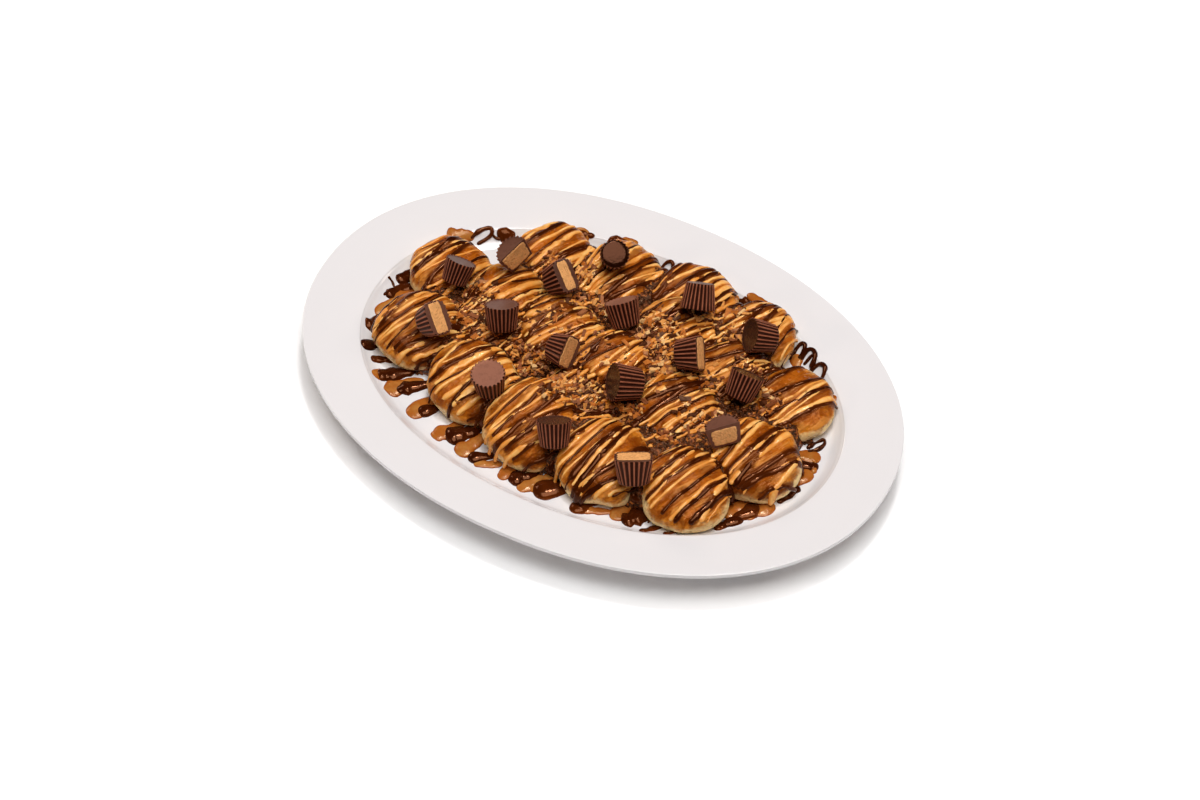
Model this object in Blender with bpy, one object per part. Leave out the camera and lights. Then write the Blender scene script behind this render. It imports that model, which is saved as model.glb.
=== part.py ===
"""An oval rimmed platter of small puffy pancakes, strewn with whole and cut fluted chocolate cups.

Frame: metres, +Z up. The platter's long axis lies on X, the origin is the middle of its foot,
and the foot ring stands on the plane Z = 0. The pancakes overlap like shingles and press each
other flat where they meet; each cup stands a small gap over what is under it.
"""

import math
from collections import namedtuple

import bmesh
import bpy
import numpy as np
from mathutils import Matrix, Vector
from mathutils.bvhtree import BVHTree

MM = 0.001

# Platter, in millimetres.
PLATTER_LENGTH = 318.0
PLATTER_WIDTH = 220.0
RIM_WIDTH_AT_ENDS = 29.0
RIM_WIDTH_AT_SIDES = 24.0
RIM_TOP = 21.0
WELL_FLOOR = 12.5
WELL_UNDERSIDE = 7.5
OVAL_POWER = 2.1
PLATTER_SIDES = 60

# Pancakes, in millimetres: each is a lens with a browned dome over a flat base.
PANCAKE_THICKNESS = 14.0
PANCAKE_SIDES = 16
PANCAKE_PROFILE = ((0.70, 0.0), (0.93, 0.13), (1.0, 0.40), (0.93, 0.69), (0.68, 0.91), (0.34, 0.985))
OUTLINE_WOBBLE = 0.025
FLATNESS = 3.0
PILE_LEAN = math.radians(12)
PILE_HEADING = math.radians(-61)
PILE_AXIS = Vector((
    math.sin(PILE_LEAN) * math.cos(PILE_HEADING),
    math.sin(PILE_LEAN) * math.sin(PILE_HEADING),
    math.cos(PILE_LEAN),
))

# Chocolate cups, in millimetres: a fluted frustum, wide end up.
CUP_WIDE_RADIUS = 8.9
CUP_BASE_RADIUS = 7.1
CUP_HEIGHT = 13.0
FLUTES = 24
FLUTE_DEPTH = 0.55
STUB_POWER = 4.0

RESTING_GAP = 0.35
DROP_HEIGHT = 100.0
PRESS_STEP = 0.01
UP = Vector((0.0, 0.0, 1.0))
DOWN = Vector((0.0, 0.0, -1.0))

# Places: x and y of the middle in millimetres. lift raises it off the well's floor, lean is the
# tilt out of level in degrees, and heading is the way the top leans, turned from +X towards +Y.
Pancake = namedtuple("Pancake", "name x y radius lift lean heading")
PANCAKES = (
    Pancake("pancake_01", -100, 23, 21, 0, 5, -60),
    Pancake("pancake_02", -57, 55, 21, 0, 6, -60),
    Pancake("pancake_03", -23, 61, 21, 0, 6, -60),
    Pancake("pancake_04", 19, 65, 21.5, 0, 6, -60),
    Pancake("pancake_05", 58, 58, 20.5, 0, 8, -60),
    Pancake("pancake_06", -62, 0, 21, -1, 6, -60),
    Pancake("pancake_07", -1, -20, 21, -1, 6, -60),
    Pancake("pancake_08", 58, 29, 20.5, 0, 10, -60),
    Pancake("pancake_09", 94, 30, 20.5, 0, 8, -70),
    Pancake("pancake_10", 22, 38, 21.5, 0, 12, -60),
    Pancake("pancake_11", -65, 18, 21, 0, 12, -60),
    Pancake("pancake_12", -30, 12, 21.5, 0, 12, -60),
    Pancake("pancake_13", 4, 4, 21.5, 0, 12, -60),
    Pancake("pancake_14", 93, -13, 23, 0, 12, -60),
    Pancake("pancake_15", 45, -4, 21, 0, 12, -60),
    Pancake("pancake_16", -93, -20, 22, 0, 13, -65),
    Pancake("pancake_17", -52, -37, 22.5, 0, 16, -65),
    Pancake("pancake_18", -14, -47, 23.5, 0, 18, -65),
    Pancake("pancake_19", 29, -49, 24, 0, 10, -65),
    Pancake("pancake_20", 72, -44, 23.3, 0, 8, -60),
)

# turn spins a cup about its own axis. kept is whole, half (split down its axis) or stub (a
# squared-off piece cut across, so that the filling shows at the wide end). size scales the cup.
Cup = namedtuple("Cup", "name x y lean heading turn kept length size")
CUPS = (
    Cup("cup_01", -90, 14, 40, 85, 0, "whole", 13.0, 0.9),
    Cup("cup_02", -66, 33, 25, -135, 335, "half", 13.0, 1.0),
    Cup("cup_03", -42, 33, 50, 20, 70, "stub", 10.0, 1.0),
    Cup("cup_04", -25, 60, 30, -50, 0, "whole", 13.0, 0.88),
    Cup("cup_05", -84, -22, 50, 15, 65, "stub", 9.0, 1.0),
    Cup("cup_06", -55, -2, 30, 120, 0, "whole", 13.0, 1.0),
    Cup("cup_07", -4, 32, 40, 140, 0, "whole", 13.0, 1.0),
    Cup("cup_08", 27, 54, 135, -70, 0, "whole", 13.0, 1.0),
    Cup("cup_09", 65, 49, 65, -140, 0, "whole", 13.0, 1.0),
    Cup("cup_10", -19, -6, 80, -5, 30, "stub", 11.0, 0.95),
    Cup("cup_11", 39, 21, 75, 20, 60, "stub", 12.0, 1.0),
    Cup("cup_12", -39, -43, 5, -120, 0, "whole", 13.0, 1.0),
    Cup("cup_13", 19, -8, 70, -140, 0, "whole", 13.0, 1.1),
    Cup("cup_14", 71, 18, 45, 85, 0, "whole", 13.0, 1.0),
    Cup("cup_15", 4, -54, 35, 120, 0, "whole", 13.0, 1.0),
    Cup("cup_16", 79, -17, 15, 170, 310, "half", 13.0, 1.0),
    Cup("cup_17", 49, -55, 35, 120, 30, "stub", 12.0, 1.08),
)

PORCELAIN = ("platter_glaze", (0.86, 0.84, 0.83), 0.18)
GRIDDLED = ("browned_batter", (0.66, 0.33, 0.10), 0.55)
CHOCOLATE = ("cup_chocolate", (0.13, 0.045, 0.02), 0.42)


def paint(name, colour, roughness):
    """A plain finish with one colour."""
    material = bpy.data.materials.get(name) or bpy.data.materials.new(name)
    material.use_nodes = True
    shader = material.node_tree.nodes["Principled BSDF"]
    shader.inputs["Base Color"].default_value = (*colour, 1.0)
    shader.inputs["Roughness"].default_value = roughness
    material.diffuse_color = (*colour, 1.0)
    return material


def loft(loops):
    """A closed body from loops of equal length: flat ends, and four-sided faces in between."""
    body = bmesh.new()
    rows = [[body.verts.new(point) for point in loop] for loop in loops]
    for upper, lower in zip(rows, rows[1:]):
        for here in range(len(upper)):
            after = (here + 1) % len(upper)
            body.faces.new((upper[here], upper[after], lower[after], lower[here]))
    body.faces.new(rows[0])
    body.faces.new(rows[-1][::-1])
    bmesh.ops.recalc_face_normals(body, faces=body.faces)
    return body


def finish_object(name, body, finish):
    """Turns a body into a named, smooth-shaded object with its finish."""
    mesh = bpy.data.meshes.new(name)
    bmesh.ops.scale(body, vec=(MM, MM, MM), verts=body.verts)
    body.to_mesh(mesh)
    body.free()
    mesh.shade_smooth()
    mesh.set_sharp_from_angle(angle=math.radians(40))
    mesh.materials.append(paint(*finish))
    piece = bpy.data.objects.new(name, mesh)
    bpy.context.scene.collection.objects.link(piece)
    return piece


# ---------------------------------------------------------------- platter

def platter_loop(inset, height):
    """The oval at a distance from the edge, counted in rim widths, as a superellipse."""
    half_length = PLATTER_LENGTH / 2 - inset * RIM_WIDTH_AT_ENDS
    half_width = PLATTER_WIDTH / 2 - inset * RIM_WIDTH_AT_SIDES
    angles = np.arange(PLATTER_SIDES) * 2 * math.pi / PLATTER_SIDES
    along = half_length * np.sign(np.cos(angles)) * np.abs(np.cos(angles)) ** (2 / OVAL_POWER)
    across = half_width * np.sign(np.sin(angles)) * np.abs(np.sin(angles)) ** (2 / OVAL_POWER)
    return [(x, y, height) for x, y in zip(along, across)]


def platter_body():
    """The well, its wall, the nearly flat rim, the rounded lip, the underside and the foot ring."""
    foot = 6.5
    profile = (
        (1.36, WELL_FLOOR),
        (1.24, WELL_FLOOR + 0.9),
        (1.13, WELL_FLOOR + 3.0),
        (1.05, WELL_FLOOR + 5.0),
        (0.96, RIM_TOP - 2.5),
        (0.45, RIM_TOP - 1.2),
        (0.04, RIM_TOP - 0.1),
        (0.005, RIM_TOP - 0.7),
        (0.0, RIM_TOP - 1.6),
        (0.02, RIM_TOP - 2.9),
        (0.12, RIM_TOP - 3.7),
        (0.90, WELL_UNDERSIDE + 7.4),
        (1.10, WELL_UNDERSIDE + 4.4),
        (1.34, WELL_UNDERSIDE + 0.8),
        (1.72, WELL_UNDERSIDE - 0.4),
        (1.78, WELL_UNDERSIDE - foot),
        (1.80, 0.0),
        (1.97, 0.0),
        (2.02, WELL_UNDERSIDE - 0.5),
        (2.12, WELL_UNDERSIDE),
    )
    return loft([platter_loop(inset, height) for inset, height in profile])


# ---------------------------------------------------------------- pancakes

def pancake_body(radius, phase):
    """Rings from the flat base up over the puffy side to the dome, with a slightly uneven outline."""
    angles = np.arange(PANCAKE_SIDES) * 2 * math.pi / PANCAKE_SIDES
    wobble = np.cos(2 * angles + phase) + 0.4 * np.cos(3 * angles - phase)
    outline = 1 + OUTLINE_WOBBLE * wobble
    loops = []
    for reach, rise in reversed(PANCAKE_PROFILE):
        ring = reach * radius * outline
        loops.append([
            (r * math.cos(a), r * math.sin(a), rise * PANCAKE_THICKNESS) for r, a in zip(ring, angles)
        ])
    body = loft(loops)
    crown = max(body.faces, key=lambda face: face.calc_center_median().z)
    centre = bmesh.ops.poke(body, faces=[crown])["verts"][0]
    centre.co.z = PANCAKE_THICKNESS
    return body


# ---------------------------------------------------------------- chocolate cups

def fluted_loop(radius, height, power=2.0):
    """A ring whose points go in and out by the depth of a flute. A power over 2 squares it off."""
    angles = np.arange(2 * FLUTES) * math.pi / FLUTES
    swell = (np.abs(np.cos(angles)) ** power + np.abs(np.sin(angles)) ** power) ** (-1 / power)
    ring = radius * swell - FLUTE_DEPTH * (np.arange(2 * FLUTES) % 2)
    return [(r * math.cos(a), r * math.sin(a), height) for r, a in zip(ring, angles)]


def cup_body(length, size, kept):
    """A fluted frustum about its own middle.

    A half keeps the side behind its lengthwise cut, and a stub is squared off at its wide end.
    """
    base_height = CUP_HEIGHT - length
    base_share = base_height / CUP_HEIGHT
    base_radius = CUP_BASE_RADIUS + (CUP_WIDE_RADIUS - CUP_BASE_RADIUS) * base_share
    body = loft([
        fluted_loop(CUP_WIDE_RADIUS * size, length * size / 2, STUB_POWER if kept == "stub" else 2.0),
        fluted_loop(base_radius * size, -length * size / 2),
    ])
    if kept == "half":
        cut = bmesh.ops.bisect_plane(
            body, geom=body.verts[:] + body.edges[:] + body.faces[:], dist=1e-6,
            plane_co=(0, 0, 0), plane_no=(1, 0, 0), clear_outer=True,
        )
        rim = [piece for piece in cut["geom_cut"] if isinstance(piece, bmesh.types.BMEdge)]
        bmesh.ops.contextual_create(body, geom=rim)
        bmesh.ops.recalc_face_normals(body, faces=body.faces)
    return body


# ---------------------------------------------------------------- placing

def pose(lean, heading, turn=0.0):
    """The turn about the piece's own axis, then the lean of its top towards the heading."""
    towards = math.radians(heading)
    hinge = Vector((-math.sin(towards), math.cos(towards), 0.0))
    return Matrix.Rotation(math.radians(lean), 4, hinge) @ Matrix.Rotation(math.radians(turn), 4, "Z")


class Pile:
    """What lies on the platter so far, kept as one tree of triangles and a cloud of its points."""

    def __init__(self):
        self.corners = []
        self.triangles = []
        self.tree = None

    def add(self, body):
        """Adds a body's corners and its faces, fanned into triangles."""
        start = len(self.corners)
        body.verts.index_update()
        self.corners += [vert.co.copy() for vert in body.verts]
        for face in body.faces:
            ring = [start + vert.index for vert in face.verts]
            self.triangles += [(ring[0], b, c) for b, c in zip(ring[1:], ring[2:])]
        self.tree = BVHTree.FromPolygons(self.corners, self.triangles)

    def top(self, x, y):
        """The height of the pile at a place seen from above."""
        hit = self.tree.ray_cast(Vector((x, y, DROP_HEIGHT)), DOWN)[0]
        return hit.z if hit else 0.0

    def clear(self, point):
        """Whether a point lies inside the well's shoulder, a resting gap above its surface."""
        across = abs(point.x) / (PLATTER_LENGTH / 2 - RIM_WIDTH_AT_ENDS)
        along = abs(point.y) / (PLATTER_WIDTH / 2 - RIM_WIDTH_AT_SIDES)
        inside = across**OVAL_POWER + along**OVAL_POWER < 1
        return inside and point.z >= self.top(point.x, point.y) + RESTING_GAP

    def gap_under(self, body):
        """The least upright distance from a body down to the pile, negative where it would sink in."""
        bmesh.ops.translate(body, vec=(0, 0, DROP_HEIGHT), verts=body.verts)
        above = BVHTree.FromBMesh(body)
        gaps = [2 * DROP_HEIGHT]
        for point in probes(body):
            hit = self.tree.ray_cast(point, DOWN)[0]
            if hit:
                gaps.append(point.z - hit.z)
        low, high = plan_corners(body)
        for point in self.corners:
            if low[0] <= point.x <= high[0] and low[1] <= point.y <= high[1]:
                hit = above.ray_cast(point, UP)[0]
                if hit:
                    gaps.append(hit.z - point.z)
        bmesh.ops.translate(body, vec=(0, 0, -DROP_HEIGHT), verts=body.verts)
        return min(gaps) - DROP_HEIGHT

    def drop(self, body):
        """Lowers a stiff body straight down until it stops a resting gap over the pile."""
        fall = self.gap_under(body) - RESTING_GAP
        bmesh.ops.translate(body, vec=(0, 0, -fall), verts=body.verts)
        self.add(body)


def plan_corners(body):
    """The lowest and highest x and y of a body."""
    places = np.array([vert.co[:2] for vert in body.verts])
    return places.min(axis=0), places.max(axis=0)


def probes(body):
    """The corners of a body and four points along each of its edges."""
    points = [vert.co.copy() for vert in body.verts]
    for edge in body.edges:
        start, end = (vert.co for vert in edge.verts)
        points += [start.lerp(end, share) for share in (0.2, 0.4, 0.6, 0.8)]
    return points


def loose_pancake(cake, number):
    """A pancake in its pose and shape before its neighbours press it, and its middle."""
    body = pancake_body(cake.radius, phase=2.4 * number)
    bmesh.ops.translate(body, vec=(0, 0, -PANCAKE_THICKNESS / 2), verts=body.verts)
    body.transform(pose(cake.lean, cake.heading))
    lowest = min(vert.co.z for vert in body.verts)
    middle = Vector((cake.x, cake.y, WELL_FLOOR + RESTING_GAP + cake.lift - lowest))
    bmesh.ops.translate(body, vec=middle, verts=body.verts)
    return body, middle


def stretched(step):
    """A step with its part along the pile's axis scaled up by the square of a pancake's flatness."""
    return step + PILE_AXIS * (step.dot(PILE_AXIS) * (FLATNESS**2 - 1))


def contact_planes(number, middles):
    """A point and a normal for the plane between one pancake and each of the others.

    In a space stretched along the pile's axis pancakes are balls, and two balls that meet share
    the plane through the circle where they meet.
    """
    planes = []
    for other, middle in enumerate(middles):
        if other == number:
            continue
        step = middle - middles[number]
        normal = stretched(step)
        own, theirs = PANCAKES[number].radius, PANCAKES[other].radius
        share = 0.5 + (own**2 - theirs**2) / (2 * normal.dot(step))
        planes.append((middles[number] + share * step, normal.normalized()))
    return planes


def press(body, middle, planes, pile):
    """Draws in each corner towards the middle, until it is clear of the neighbours and the platter."""
    for vert in body.verts:
        arm = vert.co - middle
        kept = 1.0
        for point, normal in planes:
            reach = arm.dot(normal)
            room = (point - middle).dot(normal) - RESTING_GAP / 2
            if reach > room:
                kept = min(kept, room / reach)
        while not pile.clear(middle + kept * arm):
            kept -= PRESS_STEP
        vert.co = middle + kept * arm


def placed_cup(cup):
    """A cup in its pose, over its place."""
    body = cup_body(cup.length, cup.size, cup.kept)
    body.transform(pose(cup.lean, cup.heading, cup.turn))
    bmesh.ops.translate(body, vec=(cup.x, cup.y, DROP_HEIGHT), verts=body.verts)
    return body


def build():
    for old in list(bpy.data.objects):
        bpy.data.objects.remove(old, do_unlink=True)
    pile = Pile()
    platter = platter_body()
    pile.add(platter)
    finish_object("platter", platter, PORCELAIN)
    loose = [loose_pancake(cake, number) for number, cake in enumerate(PANCAKES)]
    middles = [middle for body, middle in loose]
    for number, (body, middle) in enumerate(loose):
        press(body, middle, contact_planes(number, middles), pile)
    for (body, middle), cake in zip(loose, PANCAKES):
        pile.add(body)
        finish_object(cake.name, body, GRIDDLED)
    for cup in CUPS:
        body = placed_cup(cup)
        pile.drop(body)
        finish_object(cup.name, body, CHOCOLATE)


build()
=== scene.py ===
"""An oval rimmed platter of small drizzled pancakes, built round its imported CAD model.

Everything is worked out in millimetres on numpy grids and turned into metres as it enters a mesh.
The pancakes repeat the places and the pressing of the CAD part, with a finer and lumpier surface.
Sauces and crumbs lie on a height field, the highest point of platter and pancakes over each spot.
"""

import math
from collections import namedtuple

import bpy
import numpy as np
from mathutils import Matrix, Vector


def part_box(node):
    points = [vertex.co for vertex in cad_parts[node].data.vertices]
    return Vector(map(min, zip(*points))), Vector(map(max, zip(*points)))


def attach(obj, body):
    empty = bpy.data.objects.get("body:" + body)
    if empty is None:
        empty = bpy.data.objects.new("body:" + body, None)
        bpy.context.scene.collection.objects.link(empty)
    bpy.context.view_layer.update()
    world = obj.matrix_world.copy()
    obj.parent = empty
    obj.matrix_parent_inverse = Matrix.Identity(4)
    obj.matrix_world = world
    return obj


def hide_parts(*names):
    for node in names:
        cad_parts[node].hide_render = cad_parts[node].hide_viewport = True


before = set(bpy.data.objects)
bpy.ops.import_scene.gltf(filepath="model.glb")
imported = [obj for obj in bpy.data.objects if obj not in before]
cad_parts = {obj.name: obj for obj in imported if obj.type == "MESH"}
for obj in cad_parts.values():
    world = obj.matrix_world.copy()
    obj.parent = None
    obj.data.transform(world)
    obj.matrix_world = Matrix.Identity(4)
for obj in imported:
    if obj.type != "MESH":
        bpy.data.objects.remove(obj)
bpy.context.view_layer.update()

bl_info = {
    "name": "Drizzled Pancake Platter",
    "version": (1, 0, 0),
    "blender": (4, 5, 0),
    "location": "3D View > Sidebar > Platter",
    "description": "Builds a platter of small pancakes with sauces, crumbs and chocolate cups",
    "category": "Add Mesh",
}

MM = 0.001

# Platter, in millimetres. Its profile is a list of insets, in widths of the rim, and heights.
HALF_LENGTH = 159.0
HALF_WIDTH = 110.0
RIM_AT_ENDS = 29.0
RIM_AT_SIDES = 24.0
RIM_TOP = 21.0
WELL_FLOOR = 12.5
WELL_UNDERSIDE = 7.5
OVAL_POWER = 2.1
PLATTER_TOP = (
    (1.36, WELL_FLOOR), (1.24, WELL_FLOOR + 0.9), (1.13, WELL_FLOOR + 3.0), (1.05, WELL_FLOOR + 5.0),
    (0.96, RIM_TOP - 2.5), (0.45, RIM_TOP - 1.2), (0.04, RIM_TOP - 0.1),
)
PLATTER_UNDER = (
    (0.005, RIM_TOP - 0.7), (0.0, RIM_TOP - 1.6), (0.02, RIM_TOP - 2.9), (0.12, RIM_TOP - 3.7),
    (0.90, WELL_UNDERSIDE + 7.4), (1.10, WELL_UNDERSIDE + 4.4), (1.34, WELL_UNDERSIDE + 0.8),
    (1.72, WELL_UNDERSIDE - 0.4), (1.78, 1.0), (1.80, 0.0), (1.97, 0.0), (2.02, WELL_UNDERSIDE - 0.5),
    (2.12, WELL_UNDERSIDE),
)
PROFILE_STEPS = 7
WIDEST_INSET = 3.0

# Pancakes, in millimetres: the CAD part's profile, places and contact planes.
THICKNESS = 14.0
PROFILE = ((0.70, 0.0), (0.93, 0.13), (1.0, 0.40), (0.93, 0.69), (0.68, 0.91), (0.34, 0.985))
OUTLINE_WOBBLE = 0.025
PHASE_STEP = 2.4
PANCAKE_SIDES = 168
PRESS_POWER = 11
CLEAR_OF_PLATTER = 0.2
FLATNESS = 3.0
PILE_LEAN = math.radians(12)
PILE_HEADING = math.radians(-61)
RESTING_GAP = 0.35
Pancake = namedtuple("Pancake", "node x y radius lift lean heading")
PANCAKES = (
    Pancake("pancake_01", -100, 23, 21, 0, 5, -60),
    Pancake("pancake_02", -57, 55, 21, 0, 6, -60),
    Pancake("pancake_03", -23, 61, 21, 0, 6, -60),
    Pancake("pancake_04", 19, 65, 21.5, 0, 6, -60),
    Pancake("pancake_05", 58, 58, 20.5, 0, 8, -60),
    Pancake("pancake_06", -62, 0, 21, -1, 6, -60),
    Pancake("pancake_07", -1, -20, 21, -1, 6, -60),
    Pancake("pancake_08", 58, 29, 20.5, 0, 10, -60),
    Pancake("pancake_09", 94, 30, 20.5, 0, 8, -70),
    Pancake("pancake_10", 22, 38, 21.5, 0, 12, -60),
    Pancake("pancake_11", -65, 18, 21, 0, 12, -60),
    Pancake("pancake_12", -30, 12, 21.5, 0, 12, -60),
    Pancake("pancake_13", 4, 4, 21.5, 0, 12, -60),
    Pancake("pancake_14", 93, -13, 23, 0, 12, -60),
    Pancake("pancake_15", 45, -4, 21, 0, 12, -60),
    Pancake("pancake_16", -93, -20, 22, 0, 13, -65),
    Pancake("pancake_17", -52, -37, 22.5, 0, 16, -65),
    Pancake("pancake_18", -14, -47, 23.5, 0, 18, -65),
    Pancake("pancake_19", 29, -49, 24, 0, 10, -65),
    Pancake("pancake_20", 72, -44, 23.3, 0, 8, -60),
)

# Cups, in millimetres and degrees, as in the CAD part. kept is whole, half or stub.
WIDE_RADIUS = 8.9
BASE_RADIUS = 7.1
CUP_HEIGHT = 13.0
FLUTES = 24
FLUTE_DEPTH = 0.8
STUB_POWER = 4.0
Cup = namedtuple("Cup", "node x y lean heading turn kept length size")
CUPS = (
    Cup("cup_01", -90, 14, 40, 85, 0, "whole", 13.0, 0.9),
    Cup("cup_02", -66, 33, 25, -135, 335, "half", 13.0, 1.0),
    Cup("cup_03", -42, 33, 50, 20, 70, "stub", 10.0, 1.0),
    Cup("cup_04", -25, 60, 30, -50, 0, "whole", 13.0, 0.88),
    Cup("cup_05", -84, -22, 50, 15, 65, "stub", 9.0, 1.0),
    Cup("cup_06", -55, -2, 30, 120, 0, "whole", 13.0, 1.0),
    Cup("cup_07", -4, 32, 40, 140, 0, "whole", 13.0, 1.0),
    Cup("cup_08", 27, 54, 135, -70, 0, "whole", 13.0, 1.0),
    Cup("cup_09", 65, 49, 65, -140, 0, "whole", 13.0, 1.0),
    Cup("cup_10", -19, -6, 80, -5, 30, "stub", 11.0, 0.95),
    Cup("cup_11", 39, 21, 75, 20, 60, "stub", 12.0, 1.0),
    Cup("cup_12", -39, -43, 5, -120, 0, "whole", 13.0, 1.0),
    Cup("cup_13", 19, -8, 70, -140, 0, "whole", 13.0, 1.1),
    Cup("cup_14", 71, 18, 45, 85, 0, "whole", 13.0, 1.0),
    Cup("cup_15", 4, -54, 35, 120, 0, "whole", 13.0, 1.0),
    Cup("cup_16", 79, -17, 15, 170, 310, "half", 13.0, 1.0),
    Cup("cup_17", 49, -55, 35, 120, 30, "stub", 12.0, 1.08),
)

# Strands over each pancake: the way they run in degrees from +X, then for each strand how far it
# passes to the right of the pancake's middle, in millimetres, at its front and at its back.
Drizzle = namedtuple("Drizzle", "node heading chocolate nut")
DRIZZLES = (
    Drizzle("pancake_01", 65,
            ((-17, -11), (-8, -12), (-8, -7), (2, -4), (7, 6), (14, 14)),
            ((-17, -16), (-13, -12), (-10, -9), (-5, -6), (-3, 0), (1, 5), (7, 11), (14, 11), (17, 16))),
    Drizzle("pancake_02", 68,
            ((-13, -13), (-4, -5), (2, 6), (6, 7), (14, 14)),
            ((-21, -15), (-15, -16), (-12, -13), (-9, -8), (-1, -2), (4, 4), (9, 10), (18, 11),
             (18, 16))),
    Drizzle("pancake_03", 69,
            ((-11, -18), (-3, -5), (4, 5), (8, 8), (12, 17)),
            ((-13, -20), (-10, -14), (-6, -9), (-2, -4), (1, 2), (4, 8), (8, 13), (15, 15))),
    Drizzle("pancake_04", 65,
            ((-16, -23), (-13, -18), (-8, -8), (-1, -4), (6, 2), (13, 9), (16, 12), (18, 17)),
            ((-15, -19), (-14, -11), (-6, -5), (-1, -1), (4, 3), (8, 7), (12, 11), (17, 15))),
    Drizzle("pancake_05", 68,
            ((-22, -15), (-13, -8), (-3, -8), (4, -2), (12, 5), (17, 11), (22, 17)),
            ((-17, -11), (-12, -8), (-8, -4), (-4, 1), (3, 4), (11, 7), (18, 10), (22, 15))),
    Drizzle("pancake_06", 67,
            ((-16, -16), (-10, -11), (-1, -8), (1, 8), (8, 14), (15, 19)),
            ((-17, -16), (-13, -11), (-8, -5), (-4, 0), (0, 5), (4, 10), (16, 11), (20, 15))),
    Drizzle("pancake_07", 68,
            ((-16, -15), (-11, -9), (-1, -2), (5, 3), (9, 4), (13, 9), (13, 18)),
            ((-16, -17), (-11, -12), (-6, -8), (-4, -4), (3, 4), (12, 9), (13, 21))),
    Drizzle("pancake_08", 57,
            ((-16, -13), (-10, -5), (0, -1), (9, 3), (11, 7), (16, 14)),
            ((-16, -15), (-13, -8), (-6, -4), (-1, -3), (0, 2), (8, 5), (12, 10), (16, 15))),
    Drizzle("pancake_09", 62,
            ((-14, -14), (-6, -3), (2, 4), (10, 12)),
            ((-18, -16), (-10, -9), (-8, -5), (0, 0), (4, 2), (7, 5), (9, 10), (19, 13))),
    Drizzle("pancake_10", 59,
            ((-15, -17), (-7, -11), (-3, -1), (5, 4), (9, 8), (16, 15)),
            ((-18, -22), (-19, -16), (-12, -11), (-9, -5), (-4, 0), (1, 4), (5, 7), (12, 10), (18, 13))),
    Drizzle("pancake_11", 63,
            ((-12, -20), (-8, -6), (-6, -1), (6, 7), (14, 13)),
            ((-15, -18), (-9, -16), (-6, -10), (-3, -3), (2, 3), (7, 8), (12, 12), (16, 16))),
    Drizzle("pancake_12", 56,
            ((-17, -13), (-10, -8), (-2, -3), (6, 6), (14, 14)),
            ((-17, -16), (-13, -10), (-7, -8), (-3, -4), (1, 1), (3, 5), (10, 8), (17, 11))),
    Drizzle("pancake_13", 69,
            ((-15, -13), (-8, -3), (6, 2), (11, 10), (17, 16)),
            ((-19, -15), (-12, -11), (-6, -5), (-2, -1), (2, 3), (8, 6), (15, 9), (19, 14))),
    Drizzle("pancake_14", 69,
            ((-11, -17), (-8, -11), (-1, -3), (5, 0), (9, 11), (11, 16), (18, 25)),
            ((-17, -17), (-12, -12), (-5, -10), (0, -1), (4, 3), (7, 9), (12, 15), (23, 17))),
    Drizzle("pancake_15", 60,
            ((-17, -11), (-10, -6), (-3, -1), (4, 4), (12, 10), (15, 16)),
            ((-15, -21), (-12, -15), (-10, -9), (-5, -4), (0, 0), (3, 3), (9, 8), (14, 12), (17, 16))),
    Drizzle("pancake_16", 65,
            ((-17, -23), (-12, -16), (-8, -8), (-1, -5), (4, 4), (8, 12), (12, 16), (20, 15), (17, 24)),
            ((-16, -24), (-13, -13), (-11, -10), (-6, -5), (-4, -1), (4, 6), (10, 14), (15, 22))),
    Drizzle("pancake_17", 63,
            ((-17, -16), (-11, -8), (-5, -1), (5, -1), (8, 12), (19, 12), (17, 25)),
            ((-15, -20), (-14, -10), (-7, -6), (-3, -2), (2, 3), (7, 8), (12, 13), (17, 18))),
    Drizzle("pancake_18", 62,
            ((-17, -18), (-10, -13), (-3, -7), (2, 0), (7, 6), (13, 16), (19, 26)),
            ((-20, -20), (-16, -18), (-12, -13), (-6, -9), (-4, -4), (1, 4), (6, 10), (12, 17),
             (18, 20))),
    Drizzle("pancake_19", 69,
            ((-17, -18), (-9, -11), (-2, -4), (2, -2), (7, 9), (12, 20), (19, 26)),
            ((-19, -20), (-15, -16), (-11, -12), (-6, -7), (0, -4), (5, 0), (5, 8), (9, 13), (14, 18),
             (18, 23))),
    Drizzle("pancake_20", 72,
            ((-22, -17), (-14, -11), (-7, -5), (4, 4), (11, 11), (17, 17)),
            ((-19, -19), (-14, -14), (-10, -10), (-6, -6), (-2, -1), (2, 2), (9, 9), (15, 11),
             (21, 13), (23, 18))),
)

# The coat that each sauce leaves on the batter: how soft its edge is, in cells of the field, and its
# thickness in millimetres. A strand of the coating width leaves a full coat.
COATS = {"nut": (1.8, 0.55), "chocolate": (3.2, 0.2)}
COATING_WIDTH = 2.4


# ---------------------------------------------------------------- numbers and grids

def smooth_line(points, steps):
    """A Catmull-Rom curve through the points: on each stretch a cubic whose slope at an end is half
    the step between the two neighbours of that end."""
    points = np.asarray(points, float)
    padded = np.concatenate([[2 * points[0] - points[1]], points, [2 * points[-1] - points[-2]]])
    before, start, end, after = (padded[i:len(padded) - 3 + i, None] for i in range(4))
    t = (np.arange(steps) / steps)[None, :, None]
    curve = 0.5 * (
        2 * start + (end - before) * t + (2 * before - 5 * start + 4 * end - after) * t**2
        + (3 * start - before - 3 * end + after) * t**3
    )
    return np.concatenate([curve.reshape(-1, points.shape[1]), points[-1:]])


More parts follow.
